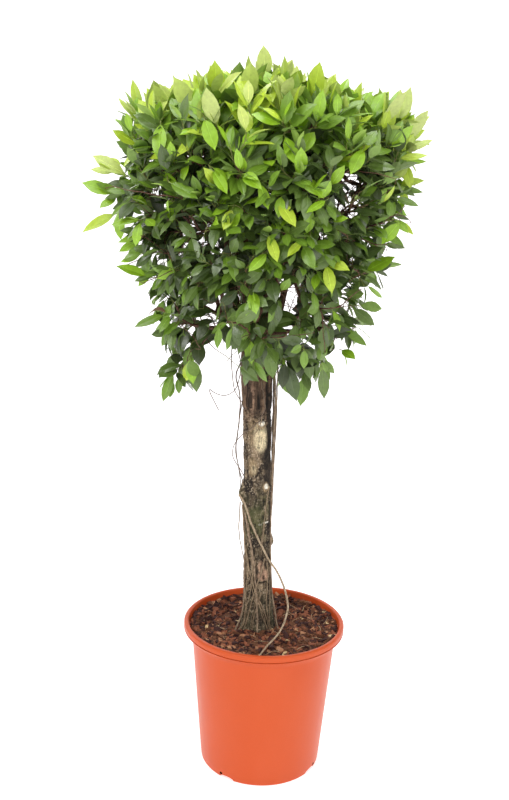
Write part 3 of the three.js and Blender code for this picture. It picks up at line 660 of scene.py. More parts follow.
def buildSoilFibres():
    # thin pale rootlets and coir threads lying on the chips
    rng = np.random.default_rng(soil["seed"] + 1)
    parts = []
    for i in range(threads["count"]):
        turn, r = rng.uniform(0, 2 * math.pi), rng.uniform(*threads["ring"])
        x, y = r * math.cos(turn), r * math.sin(turn)
        way, length = rng.uniform(0, 2 * math.pi), rng.uniform(*threads["length"])
        curl = rng.normal(0, 1.6)
        spots = []
        for t in np.linspace(0, 1, 9):
            spots.append((x, y, float(soilHeight(x, y)) + 0.0036 + 0.002 * math.sin(3 * t + i)))
            x += math.cos(way + curl * t) * length / 8
            y += math.sin(way + curl * t) * length / 8
        if np.hypot(*np.array(spots)[:, :2].T).max() < soilReach - 0.002:
            parts.append(tube(spots, rng.uniform(*threads["radius"]), 5))
    thread = streaked("coirThread", threads["dark"], threads["pale"], **threads["look"])
    makePiece("soilFibres", joined(parts), [thread])


buildSoil()
buildChips()
buildSoilFibres()
print("soil strewn")


# trunk: the source's leaning line and girth, with bark relief pressed into a fine mesh

trunk = {
    "foot": 0.250,
    "top": 0.812,
    "sides": 150,
    "levels": 400,
    # level, centre x, centre y
    "line": [(0.256, -0.012, 0.0), (0.300, -0.013, 0.001), (0.392, -0.016, 0.003), (0.540, -0.021, 0.004),
             (0.695, -0.0265, 0.002), (0.812, -0.030, 0.0)],
    "girth": [(0.256, 0.0315), (0.282, 0.0287), (0.330, 0.0266), (0.392, 0.0254), (0.560, 0.0246),
              (0.695, 0.025), (0.750, 0.0275), (0.772, 0.029), (0.792, 0.027), (0.804, 0.020),
              (0.812, 0.009)],
    "flare": {"lobes": 5, "swell": 0.0066, "fade": 0.026},
    # level, side in degrees, swell, tall, wide in degrees
    "knobs": [(0.521, 180, 0.009, 0.017, 32), (0.431, 4, 0.004, 0.010, 24), (0.642, -72, 0.005, 0.008, 18),
              (0.536, -30, 0.004, 0.007, 16), (0.372, -80, 0.003, 0.009, 50)],
}
barkColours = {
    "base": (0.080, 0.055, 0.033),
    "ridge": (0.365, 0.270, 0.170),
    "crack": (0.010, 0.008, 0.006),
    # dark serves random dark blotches, and painted shade in the dark patches on the trunk's right side
    "dark": (0.022, 0.016, 0.012),
    "fibre": (0.180, 0.098, 0.062),
    "moss": (0.085, 0.090, 0.036),
    "grey": (0.088, 0.086, 0.048),
    "lichen": (0.520, 0.420, 0.290),
    "cream": (0.660, 0.555, 0.350),
    "sand": (0.370, 0.270, 0.150),
    "white": (0.900, 0.850, 0.720),
    "peeled": (0.470, 0.290, 0.190),
}
barkPatches = [
    # colour, level, side, tall, wide in degrees, strength
    # the dark patches at sides -24 to -62 are painted shade on the trunk's shaded right side
    ("dark", 0.655, -24, 0.075, 26, 0.95),
    ("dark", 0.575, -40, 0.040, 28, 0.90),
    ("dark", 0.600, -62, 0.012, 22, 0.70),
    ("dark", 0.470, -28, 0.045, 20, 0.70),
    ("dark", 0.700, -84, 0.030, 20, 0.50),
    ("dark", 0.345, -112, 0.020, 10, 0.50),
    ("dark", 0.300, -80, 0.026, 12, 0.45),
    ("dark", 0.545, -60, 0.022, 42, 0.6),
    ("dark", 0.508, -110, 0.022, 50, 0.55),
    ("dark", 0.415, -60, 0.020, 45, 0.5),
    ("sand", 0.640, -100, 0.028, 34, 0.55),
    ("cream", 0.631, -76, 0.027, 31, 0.95),
    ("sand", 0.576, -112, 0.018, 24, 0.75),
    ("cream", 0.572, -104, 0.009, 13, 0.45),
    ("sand", 0.6550, -70, 0.0070, 19, 0.9),
    ("white", 0.6575, -70, 0.0048, 14, 1.0),
    ("sand", 0.5385, -52, 0.0095, 15, 1.0),
    ("white", 0.5400, -50, 0.0056, 9, 1.0),
    ("white", 0.4720, -52, 0.0019, 17, 0.9),
    ("white", 0.4690, -78, 0.0016, 9, 0.7),
    ("lichen", 0.4980, -58, 0.0050, 7, 0.6),
    ("peeled", 0.387, -74, 0.012, 14, 0.85),
    ("peeled", 0.371, -66, 0.011, 26, 0.95),
    ("crack", 0.358, -70, 0.0022, 36, 0.8),
    ("peeled", 0.700, -112, 0.024, 12, 0.55),
    ("moss", 0.475, -95, 0.030, 50, 0.7),
]


def trunkCentre(level):
    line = trunk["line"]
    return np.stack([table(line, level, 1), table(line, level, 2), np.asarray(level, float)], -1)


def trunkRadius(level, side):
    flare = trunk["flare"]
    radius = table(trunk["girth"], level)
    fade = np.exp(-(np.asarray(level) - 0.256) / flare["fade"])
    radius = radius + flare["swell"] * fade * np.cos(flare["lobes"] * np.radians(side) + 0.7)
    for at, facing, swell, tall, wide in trunk["knobs"]:
        off = (np.asarray(side) - facing + 180) % 360 - 180
        radius = radius + swell * np.exp(-((level - at) / tall) ** 2 - (off / wide) ** 2)
    return radius


def barkRelief(level, side):
    # height of the bark in metres, then how ridged, knobbly, patchy and speckled the place is
    turn = math.radians(side)
    x, y = 0.025 * math.cos(turn), 0.025 * math.sin(turn)
    upper = float(smooth(0.630, 0.690, level))

    def lumps(scale, height, rough, octaves, shift=(0, 0, 0)):
        spot = (x * scale + shift[0], y * scale + shift[1], level * height + shift[2])
        return noise.fractal(spot, rough, *octaves)

    strip = lumps(150, 34 - 22 * upper, 0.8, (2.1, 4))
    knobbly = lumps(140, 105, 0.75, (2.0, 4), (7, 0, 0))
    patchy = lumps(52, 38, 0.9, (2.1, 3), (3, 0, 5))
    specks = lumps(420, 340, 0.9, (2.0, 2), (0, 9, 0))
    coarse = (1 - upper) * 0.65 + 0.15
    height = strip * (0.0006 + 0.0011 * upper) + knobbly * 0.0013 * coarse + patchy * 0.0013
    return height, strip, knobbly, patchy, specks


def barkTone(level, side, strip, knobbly, patchy, specks):
    def cut(value):
        return float(np.clip(value, 0, 1))

    upper = float(smooth(0.630, 0.700, level))
    mossy = float(smooth(0.40, 0.44, level) * (1 - smooth(0.52, 0.56, level)))
    foot = float(1 - smooth(0.310, 0.355, level))
    layers = [
        ("ridge", cut(0.40 + 0.62 * strip + 0.38 * knobbly) * (0.85 - 0.2 * upper)),
        ("fibre", upper * 0.6),
        ("moss", mossy * cut(0.35 + 1.2 * patchy) * 0.8),
        ("grey", foot * cut(0.75 + 0.6 * patchy) * 0.85),
        ("dark", float(smooth(-0.02, 0.34, -patchy)) * (0.92 - 0.40 * foot - 0.42 * upper)),
        ("lichen", float(smooth(0.24, 0.50, specks)) * (1 - upper) * 0.8)]
    for name, at, facing, tall, wide, strength in barkPatches:
        off = (side - facing + 180) % 360 - 180
        near = ((level - at) / tall) ** 2 + (off / wide) ** 2
        near += (0.40 * knobbly + 0.25 * strip) * (0.5 if name == "white" else 1.0)
        layers.append((name, strength * float(1 - smooth(0.45, 1.35, near))))
    cracked = float(smooth(0.12, 0.54, -strip)) * (0.55 + 0.4 * upper)
    cracked += float(smooth(0.22, 0.65, -knobbly)) * 0.65
    layers.append(("crack", min(cracked, 0.9)))
    tone = barkColours["base"]
    for name, share in layers:
        if share > 0:
            tone = mixed(tone, barkColours[name], share)
    return tone


def barkMaterial(name, palest=1.0):
    bark = Finish(name, barkColours["base"], 0.9, 0.25)
    fibres = bark.grain(480, 6, 0.65, stretch=(1, 1, 0.14), warp=0.5)
    flecks = bark.grain(640, 4, 0.6)
    colour = bark.tone()
    for source, stops in ((fibres, ((0.30, 0.45), (0.52, 1.0), (0.75, 1.5 * palest))),
                          (flecks, ((0.32, 0.62), (0.55, 1.05), (0.78, 1.45)))):
        shade = bark.ramp(source, [(place, (light,) * 3) for place, light in stops])
        colour = bark.blend(colour, shade, 1.0, "MULTIPLY")
    bark.colour(colour)
    bark.roughness(flecks, 0.75, 0.98)
    bark.bump((fibres, 0.0008), (flecks, 0.0005))
    return bark.material


def buildTrunk():
    sides, count = trunk["sides"], trunk["levels"]
    turns = np.arange(sides) * 360 / sides
    verts, tones = [], []
    for level in np.linspace(trunk["foot"], trunk["top"], count):
        radii = trunkRadius(level, turns)
        centre = trunkCentre(level)
        for side, radius in zip(turns, radii):
            height, *texture = barkRelief(level, side)
            verts.append(centre + max(radius + height, 0.0005) * compass(side))
            tones.append(barkTone(level, side, *texture))
    verts += [trunkCentre(trunk["foot"]), trunkCentre(trunk["top"]) + (0, 0, 0.002)]
    tones += [barkColours["base"]] * 2
    shape = part(verts, stackTris(count, sides))
    makePiece("trunkBark", shape, [barkMaterial("fissuredBark")], ["trunk"], np.array(tones))


buildTrunk()
print("trunk grown")


# air roots: stations of level in mm, side in degrees and gap to the bark in mm

airRoots = {
    "long": {"bark": "longRootBark", "radius": 0.002, "tip": 0.0016, "route": [
        (521, 200, 3), (500, 222, 0.4), (470, 246, 0), (438, 278, 0), (402, 312, 4), (382, 319, 20.5),
        (357, 318, 38), (334, 314, 51.5), (314, 304, 63), (295, 293, 71), (277, 280, 77), (262, 271, 86)]},
    "front": {"bark": "rootBark", "radius": 0.0019, "tip": 0.0016, "route": [
        (488, 213, 0), (440, 238, 0), (400, 254, 0), (330, 266, 0), (290, 270, 1), (257, 270, 5)]},
    "left": {"bark": "rootBark", "radius": 0.0019, "tip": 0.0016, "route": [
        (500, 192, 0), (440, 206, 0), (370, 214, 0), (300, 213, 2), (257, 211, 13)]},
    "right": {"bark": "rootBark", "radius": 0.0018, "tip": 0.0015, "route": [
        (764, 346, 0), (715, 350, 6), (642, 348, 5), (548, 344, 2), (470, 338, 0), (393, 336, 0),
        (330, 340, 1), (257, 342, 5)]},
    "right_thin": {"bark": "wiryRootBark", "radius": 0.0016, "tip": 0.0014, "route": [
        (762, 8, 0), (700, 14, 4), (640, 10, 3), (560, 6, 0.5), (500, 8, 0)]},
    "wiry": {"bark": "wiryRootBark", "radius": 0.0012, "tip": 0.0009, "route": [
        (764, 192, 0.4), (740, 194, 10), (700, 198, 5), (640, 196, 10), (602, 192, 14), (566, 196, 8),
        (541, 204, 0.3)]},
}
fineRoots = [
    # radius, stations of level, side and gap to the bark
    (0.0009, [(672, 290, 0.6), (660, 285, 1), (650, 276, 1.2), (640, 262, 1), (632, 245, 0.8)]),
    (0.001, [(790, 340, 6), (740, 352, 9), (700, 356, 10), (640, 354, 8), (580, 352, 6), (530, 350, 3),
              (480, 350, 0.6)]),
    (0.0011, [(506, 192, 3), (480, 190, 7), (450, 190, 9), (425, 194, 6), (404, 200, 2), (392, 204, 0.5)]),
    (0.001, [(470, 232, 0.4), (420, 244, 0.8), (390, 250, 1), (350, 256, 1), (315, 278, 1.2),
              (290, 296, 1), (262, 306, 2)]),
    (0.001, [(400, 262, 0.6), (365, 250, 1), (330, 238, 1.2), (300, 224, 3), (276, 220, 4),
              (262, 216, 10)]),
    (0.0009, [(345, 262, 0.8), (322, 274, 1.2), (296, 286, 1.6), (276, 300, 4), (262, 306, 8)]),
    (0.0008, [(540, 322, 0.6), (516, 312, 1.2), (496, 304, 1), (474, 298, 0.8), (452, 290, 1),
              (424, 284, 0.8)]),
    (0.0008, [(470, 300, 0.6), (440, 292, 1), (412, 286, 0.8)]),
    (0.0014, [(425, 218, 0.4), (385, 236, 0.6), (345, 258, 1), (318, 282, 1.2), (290, 304, 1),
              (262, 318, 4)]),
    (0.0013, [(405, 300, 0.4), (375, 282, 0.8), (345, 262, 1), (315, 246, 1.2), (285, 232, 2),
              (262, 226, 6)]),
    (0.0012, [(360, 226, 0.5), (330, 222, 1), (300, 226, 1.5), (275, 222, 3), (262, 216, 8)]),
    (0.0012, [(395, 316, 0.4), (360, 312, 0.8), (320, 306, 1), (290, 312, 1.5), (262, 322, 6)]),
    (0.0011, [(340, 285, 0.5), (315, 270, 1), (292, 258, 1.2), (262, 252, 4)]),
    (0.0009, [(385, 330, 0.6), (345, 326, 1), (300, 322, 1.2), (262, 318, 5)]),
    (0.0008, [(370, 236, 0.6), (340, 252, 1), (318, 262, 1.2), (292, 250, 1.2), (266, 246, 3)]),
]
hangingRoots = [
    # radius, then the wire's own places, free of the trunk
    (0.001, [(-74, -20, 860), (-78, -20, 832), (-74, -22, 802), (-73, -22, 761), (-71, -20, 742),
             (-67, -16, 717), (-57, -10, 698), (-51, -6, 690)]),
    (0.0009, [(-60, -14, 862), (-71, -14, 831), (-68, -14, 805), (-61, -14, 782), (-57, -14, 761),
             (-59, -16, 739), (-65, -21, 719), (-78, -26, 709), (-91, -28, 709), (-104, -28, 714),
             (-110.5, -26, 718), (-107, -25, 706), (-94, -24, 681)]),
    (0.001, [(-52, -6, 700), (-56, -4, 671), (-59, -4, 635), (-61, -4, 610), (-58, -4, 579),
             (-53, -4, 556), (-50, -4, 526)]),
    (0.0009, [(-20, -27, 735), (-16, -29, 716), (-12, -30, 690), (-15, -31, 680), (-23, -32, 664),
             (-36, -28, 650), (-52, -16, 634), (-62, -10, 620), (-67, -8, 607), (-67, -8, 593),
             (-62, -8, 582), (-54, -8, 571), (-46, -8, 557)]),
    (0.0012, [(12, 6, 830), (10, 4, 796), (9, 4, 757), (9, 4, 720), (8, 3, 669), (7, 1, 601), (6, -2, 555),
             (4, -4, 509)]),
    (0.001, [(10, -4, 820), (4, -8, 788), (4, -10, 720), (3, -10, 684), (1, -10, 651), (1, -10, 606)]),
]


rootBarks = {
    "rootBark": ((0.150, 0.100, 0.062), (0.400, 0.300, 0.200)),
    "wiryRootBark": ((0.085, 0.058, 0.042), (0.230, 0.165, 0.115)),
    "longRootBark": ((0.235, 0.168, 0.106), (0.560, 0.440, 0.295)),
    "rootletBark": ((0.150, 0.104, 0.064), (0.390, 0.290, 0.180)),
}
rootLook = {"grain": {"scale": 330, "detail": 4, "rough": 0.6, "stretch": (1, 1, 0.5)},
            "fade": (0.36, 0.66), "rough": (0.62, 0.9), "height": 0.0004, "fine": (1300, 0.0002)}


def rootLine(route, radius):
    points = []
    for level, side, gap in route:
        level, gap = level / 1000, gap / 1000
        reach = float(trunkRadius(level, side)) + gap + radius * 0.75
        points.append(trunkCentre(level) + reach * compass(side))
    return points


def rootTube(points, radius, tip, seed, sides=8):
    length = np.linalg.norm(np.diff(points, axis=0), axis=1).sum()
    steps = max(24, int(length / 0.0032))
    wander = [[noise.noise((i * 0.16, seed * 3.7, axis * 5.1)) for axis in range(3)]
              for i in range(steps + 1)]
    ridges = [[noise.noise((i * 0.4, j * 1.3, seed)) for j in range(sides)] for i in range(steps + 1)]
    line = smoothLine(points, steps) + np.array(wander) * (1.0, 1.0, 0.3) * min(radius * 0.9, 0.0012)
    return tube(line, np.linspace(radius, tip, steps + 1), sides, 0.18 * np.array(ridges))


def buildAirRoots():
    finishes = {name: streaked(name, dark, pale, **rootLook) for name, (dark, pale) in rootBarks.items()}
    for seed, (name, root) in enumerate(airRoots.items()):
        shape = rootTube(rootLine(root["route"], root["radius"]), root["radius"], root["tip"], seed)
        makePiece("airRoot_" + name, shape, [finishes[root["bark"]]], ["air_root_" + name])
    fine = [rootTube(rootLine(route, radius), radius, radius * 0.7, 20 + i, 6)
            for i, (radius, route) in enumerate(fineRoots)]
    makePiece("airRootsFine", joined(fine), [finishes["rootletBark"]])
    free = [rootTube(mm(spots), radius, radius * 0.8, 40 + i, 6)
            for i, (radius, spots) in enumerate(hangingRoots)]
    makePiece("airRootsHanging", joined(free), [finishes["wiryRootBark"]])


buildAirRoots()
print("air roots hung")


# crown: outline, masses and boughs by the source's rule

crown = {
    "seed": 57,
    # level, radius about the crown's own axis
    "outline": [(0.700, 0.108), (0.740, 0.148), (0.775, 0.162), (0.810, 0.176), (0.880, 0.195),
                (0.930, 0.213), (1.000, 0.232), (1.100, 0.252), (1.180, 0.254), (1.214, 0.234),
                (1.236, 0.184), (1.252, 0.110), (1.264, 0.060), (1.272, 0.020)],
    "axis": [(0.700, -0.035), (1.000, -0.028), (1.290, -0.020)],
    "heart": (-0.027, 0.0, 1.000),
    "hollow": 0.062,
    "hollowTop": 1.030,
    "underside": 0.800,
    "undersideSlope": 0.12,
}
massKinds = [
    {"name": "mass_top", "level": 1.185, "out": 0.0, "count": 1, "turn": 0, "stagger": 0.0},
    {"name": "mass_upper", "level": 1.096, "out": 0.152, "count": 6, "turn": 0, "stagger": 0.020},
    {"name": "mass_skirt", "level": 0.850, "out": 0.134, "count": 6, "turn": 30, "stagger": 0.014},
]
boughKinds = {
    "leader": {"radius": 0.0100, "tip": 0.0054},
    "rising": {"radius": 0.0084, "tip": 0.0046, "level": 0.784, "climb": 46},
    "low": {"radius": 0.0070, "tip": 0.0042, "level": 0.800, "climb": 34},
    "shoulder": 0.014,
    "turn": 0.930,
}
farTips = [
    # ends of the twigs that reach furthest out; the sprays' places and lengths here are in mm
    (-34, -12, 1293), (11, 14, 1278), (-225, -8, 1222), (177, 12, 1232), (-270, 8, 1168), (246, -6, 1192),
    (248, 10, 1070), (216, -34, 1028), (-268, -64, 933), (194, -60, 962), (-236, -84, 833),
    (158, -64, 810), (-191, -60, 700), (50, -60, 699), (114, -112, 768), (98, -217, 1120),
    (-150, 225, 1090), (70, 236, 1190), (60, -205, 1215), (-130, -200, 1200), (-40, 170, 722),
]
hangingSprays = [
    # sprays that hang low: x, y and level of the tip, light, length of the last leaf
    (-40, -90, 775, 0.25, 41), (-11, -90, 781, 0.21, 42), (-35, -84, 751, -0.01, 42),
    (40, -90, 714, -0.09, 62), (89, -90, 720, -0.05, 52), (61, -90, 752, -0.03, 44),
    (94, -90, 764, -0.03, 42), (33, -96, 800, 0.17, 44), (58, -100, 822, 0.05, 40),
    (-21, -98, 822, 0.05, 40), (-54, -96, 812, 0.13, 38), (81, -96, 797, 0.05, 48),
    (102, -92, 805, 0.01, 42), (-135, -60, 718, 0.05, 52), (-114, -66, 782, 0.07, 42),
    (-178, -60, 707, 0.15, 32), (-162, -50, 712, 0.11, 28), (-86, -100, 808, 0.05, 40),
    (-70, -104, 832, 0.11, 40), (4, -108, 842, 0.07, 42), (-106, -95, 824, 0.09, 38),
    (-78, -100, 820, 0.15, 36), (-54, -100, 816, 0.21, 36), (-124, -85, 814, 0.05, 36),
    (-150, -70, 760, 0.01, 36), (-170, -40, 770, 0.09, 34), (-156, -80, 790, -0.01, 34),
    (-182, -50, 748, -0.05, 34),
]
brightSprays = [
    # sprays at the front with fresh leaves at their ends, in the same way
    (62, -215, 1050, 0.4, 55), (21, -219, 1006, 0.58, 46), (36, -218, 1028, 0.38, 36),
    (-79, -222, 1051, 0.38, 42), (-124, -208, 1044, 0.28, 50), (-187, -178, 1098, 0.48, 56),
    (-160, -190, 1104, 0.46, 48), (-2, -205, 953, 0.58, 44), (87, -164, 905, 0.64, 46),
    (164, -114, 982, 0.38, 46), (128, -186, 1131, 0.56, 56), (220, -19, 1071, 0.62, 44),
    (-86, -210, 998, 0.6, 34), (-210, -128, 1012, 0.56, 36), (21, -230, 1095, 0.34, 46),
    (-58, -230, 1076, 0.36, 44), (-98, -226, 1112, 0.36, 50), (-47, -204, 938, 0.34, 40),
    (-96, -198, 955, 0.36, 44), (10, -200, 962, 0.5, 34), (100, -200, 1085, 0.34, 44),
    (-20, -224, 1030, 0.34, 40),
]
# sprays that stand up all over the crown's top
spires = {"count": 46, "reach": 0.242, "stand": (-0.014, 0.012), "leaf": (0.052, 0.064), "clear": 0.006,
          "light": (0.54, 0.88)}
sideSprays = [
    # sprays at the two sides, in the same way, then how much they turn up
    (-335, -10, 1066, 0.34, 56, 0.35), (-335, -16, 982, 0.58, 64, -0.55), (-316, -14, 1110, 0.6, 60, 0.55),
    (-322, 0, 1088, 0.66, 40, 0.1), (-296, -20, 1040, 0.02, 36, -0.3), (-288, 10, 1022, 0.04, 36, -0.5),
    (-286, -50, 1055, 0.06, 38, 0.1), (-276, -80, 1012, 0.1, 36, -0.7), (-272, -100, 1000, 0.5, 36, -0.1),
    (-278, 30, 1130, 0.1, 42, 0.3), (-274, -60, 1150, 0.66, 46, 0.6), (-272, 20, 1186, 0.74, 50, 0.7),
    (-266, -70, 1196, 0.8, 50, 0.9), (-270, -40, 968, 0.3, 34, -0.3), (-276, 10, 950, 0.16, 36, -0.6),
    (-262, -60, 936, 0.2, 34, -0.4), (238, -20, 1200, 0.82, 56, 1.9), (205, -70, 1226, 0.84, 54, 2.4),
    (246, -50, 1150, 0.8, 42, 0.5), (244, 20, 1172, 0.66, 44, 0.7), (232, -90, 1124, 0.5, 44, 0.2),
    (242, -30, 1118, 0.3, 42, 0.1), (246, 0, 1088, 0.52, 44, 0.25), (230, -60, 1046, 0.14, 40, -0.2),
    (228, 20, 1020, 0.12, 38, -0.3), (226, -50, 996, 0.52, 38, -0.7), (208, -70, 980, 0.16, 40, -0.5),
    (200, -20, 940, 0.16, 38, -0.6),
]
edgeSprays = [
    # sprays that stand out of the crown's outline at its two sides: x, y and level
    (-262, 20, 1110), (-256, -70, 1030), (-252, 10, 985), (-250, -20, 955), (-246, 40, 925),
    (-244, -35, 900), (-234, 15, 872), (-226, -50, 850), (-215, 30, 825), (-205, -20, 800),
    (-192, -55, 775), (-186, 10, 745), (-166, -45, 722), (230, 30, 1130), (224, 0, 985), (212, -30, 955),
    (200, 25, 925), (188, -40, 895), (174, 10, 865), (165, -50, 840), (152, 20, 790), (142, -40, 765),
]
shootSets = [
    # how many ends, how far out from the heart to the crown's skin, extra turn, how far they scatter,
    # and between which levels they stay, where they are bare
    {"count": 72, "depth": 0.97, "turn": 0.0, "scatter": 0.0},
    {"count": 8, "depth": 0.66, "turn": 0.0, "scatter": 0.0},
    {"count": 620, "depth": 0.96, "turn": 1.3, "scatter": 0.05},
    {"count": 380, "depth": 0.84, "turn": 2.1, "scatter": 0.06},
    {"count": 150, "depth": 0.64, "turn": 0.4, "scatter": 0.08},
    {"count": 620, "depth": 0.80, "turn": 0.9, "scatter": 0.10, "bare": (0.76, 1.15)},
]
# level, share of the scattered shoots that stay
thinning = [(0.70, 0.10), (0.80, 0.20), (0.87, 0.36), (0.92, 0.58), (0.97, 0.80), (1.05, 0.95), (1.15, 1.0),
            (1.22, 0.80), (1.30, 0.70)]
skyGaps = [
    # places where the foliage is open right through: x, level, half width, half height, share kept
    (-136, 986, 36, 26, 0.12), (-100, 972, 22, 18, 0.25), (-212, 1040, 22, 24, 0.1),
    (-158, 1114, 10, 10, 0.2), (-207, 945, 15, 13, 0.15), (-73, 888, 16, 30, 0.15),
    (26, 890, 20, 40, 0.15), (123, 1081, 24, 24, 0.12), (121, 1041, 32, 26, 0.12),
    (152, 1010, 16, 14, 0.2), (68, 984, 19, 17, 0.15), (-175, 1010, 16, 18, 0.35), (-95, 850, 30, 40, 0.3),
    (-150, 820, 12, 24, 0.25), (112, 790, 20, 30, 0.3), (90, 855, 14, 16, 0.35), (-93, 750, 41, 55, 0),
    (-22, 683, 56, 60, 0), (110, 880, 20, 16, 0.4),
]
# bare twigs across each open place above this level, and how far to the front and the back they lie
gapTwigs = {"count": 9, "above": 0.80, "depth": (-0.17, 0.08)}


def crownAxisX(level):
    return table(crown["axis"], level)


def fromCrownAxis(spots):
    spots = np.asarray(spots, float)
    return np.hypot(spots[..., 0] - crownAxisX(spots[..., 2]), spots[..., 1])


def inCrown(spots, ease=1.0):
    spots = np.asarray(spots, float)
    level = spots[..., 2]
    inside = fromCrownAxis(spots) < table(crown["outline"], level) * ease
    return inside & (level > crown["outline"][0][0]) & (level < crown["outline"][-1][0] * 1.002)


def crownReach(way):
    # how far the crown's skin lies from its heart
    steps = np.arange(0.004, 0.5, 0.004)
    return steps[np.nonzero(~inCrown(np.array(crown["heart"]) + np.outer(steps, way)))[0][0]]


def depthInCrown(spot):
    # 0 at the crown's skin and 1 in its heart
    way = spot - np.array(crown["heart"])
    reach = crownReach(unit(way))
    return float(np.clip(1 - np.linalg.norm(way) / max(reach, 0.01), 0, 1))


def inHollow(spot, mass):
    under = crown["hollow"] + max(0.0, crown["underside"] - spot[2]) * crown["undersideSlope"]
    return spot[2] < crown["hollowTop"] and mass["out"] > 0 and fromCrownAxis(spot) < under


def massList():
    masses = []
    for kind in massKinds:
        for i in range(kind["count"]):
            side = kind["turn"] + 360 * i / kind["count"]
            level = kind["level"] + (kind["stagger"] if i % 2 == 0 else -kind["stagger"])
            centre = compass(side) * kind["out"] + (float(crownAxisX(level)), 0, level)
            name = kind["name"] + (f"_{i + 1}" if kind["count"] > 1 else "")
            masses.append({"name": name, "centre": centre, "side": side, "level": level,
                           "out": kind["out"]})
    return masses


masses = massList()
massCentres = np.array([mass["centre"] for mass in masses])


def massAt(spot):
    return int(np.argmin(np.linalg.norm(massCentres - spot, axis=1)))


def boughRoute(mass):
    turn = np.array([float(crownAxisX(boughKinds["turn"])), 0, boughKinds["turn"]])
    if mass["out"] == 0:
        kind = boughKinds["leader"]
        root = trunkCentre(0.800)
        tip = enterMass(trunkCentre(0.8123), mass)
        route = [root, root + (0, 0, 0.042), mixed(root, tip, 0.5) + (0.009, -0.006, 0), tip]
        return kind, route
    kind = boughKinds["rising" if mass["level"] > crown["hollowTop"] else "low"]
    way = compass(mass["side"], kind["climb"])
    centre = trunkCentre(kind["level"])
    skin = centre + way * float(trunkRadius(kind["level"], mass["side"]))
    bend = skin + way * boughKinds["shoulder"]
    tip = enterMass(turn if kind is boughKinds["rising"] else bend, mass)
    return kind, [centre + way * 0.010, skin, bend, tip]


def enterMass(start, mass):
    # first place on the way to a mass's centre that is in its own space
    for share in np.arange(1, 61) / 60:
        spot = mixed(start, mass["centre"], share)
        if masses[massAt(spot)] is mass and not inHollow(spot, mass):
            return spot
    return mass["centre"].copy()


def limbBark(rings, sides, seed):
    # bark relief and colour for a limb's rings
    relief = np.zeros((rings, sides))
    for i in range(rings):
        for j in range(sides):
            turn = 2 * math.pi * j / sides
            spot = (math.cos(turn) * 1.6, math.sin(turn) * 1.6, i * 0.21 + seed)
            relief[i, j] = noise.fractal(spot, 0.8, 2.1, 3)
    light = np.clip(0.45 + 0.8 * relief, 0, 1)[..., None]
    return 0.16 * relief, mixed(barkColours["crack"], barkColours["fibre"], 0.35 + 0.65 * light)


def buildBoughs():
    parts, tones = [], []
    for seed, mass in enumerate(masses):
        kind, route = boughRoute(mass)
        radii = np.linspace(kind["radius"] * 1.35, kind["tip"], len(route))
        radii[0] = kind["radius"] * 1.6
        line, radii = smoothLine(route, 40, radii)
        mass["entry"], mass["entryWay"] = line[-1], unit(line[-1] - line[-3])
        relief, tints = limbBark(len(line), 14, seed * 9.1)
        parts.append(tube(line, radii, 14, relief))
        tones.append(np.concatenate([tints.reshape(-1, 3), tints[0, :1], tints[-1, :1]]))
    boughs = [mass["name"].replace("mass", "bough") for mass in masses]
    finish = barkMaterial("boughBark", 0.9)
    makePiece("boughBark", joined(parts), [finish], boughs, np.concatenate(tones))


buildBoughs()
print("boughs grown")


# twigs: each leaves the growing stem at its nearest knot and ends in a leafy shoot

twigs = {
    "leafy": (0.055, 0.095),            # length of the leafy end
    "knotEvery": 0.016,
    "finest": 0.00080,                  # radius of a twig that bears one shoot
    "stem": 0.0030,
    "thicken": 0.43,                    # how a twig's radius grows with what it bears
    "step": 0.014,
    "reach": 0.040,                     # from a twig's end to the shoot's tip, where no last leaf is given
    "bendCost": 0.35,                   # what a bend counts in choosing a knot,
    "runCost": 0.15,                    # and what a long way back to the bough counts
    "shortShoots": (0.35, 1.05),        # share of shoots whose leafy end is short, and up to which level
    "wander": 0.16,                     # how much shoots stray from their way, and
    "wiggle": 0.0009,                   # how much twigs stray from their curve
}
# how much shoots at a level turn up (or hang, under nought)
lift = [(0.70, -0.75), (0.80, -0.45), (0.90, -0.10), (1.00, 0.25), (1.10, 0.60), (1.20, 1.05), (1.30, 1.5)]


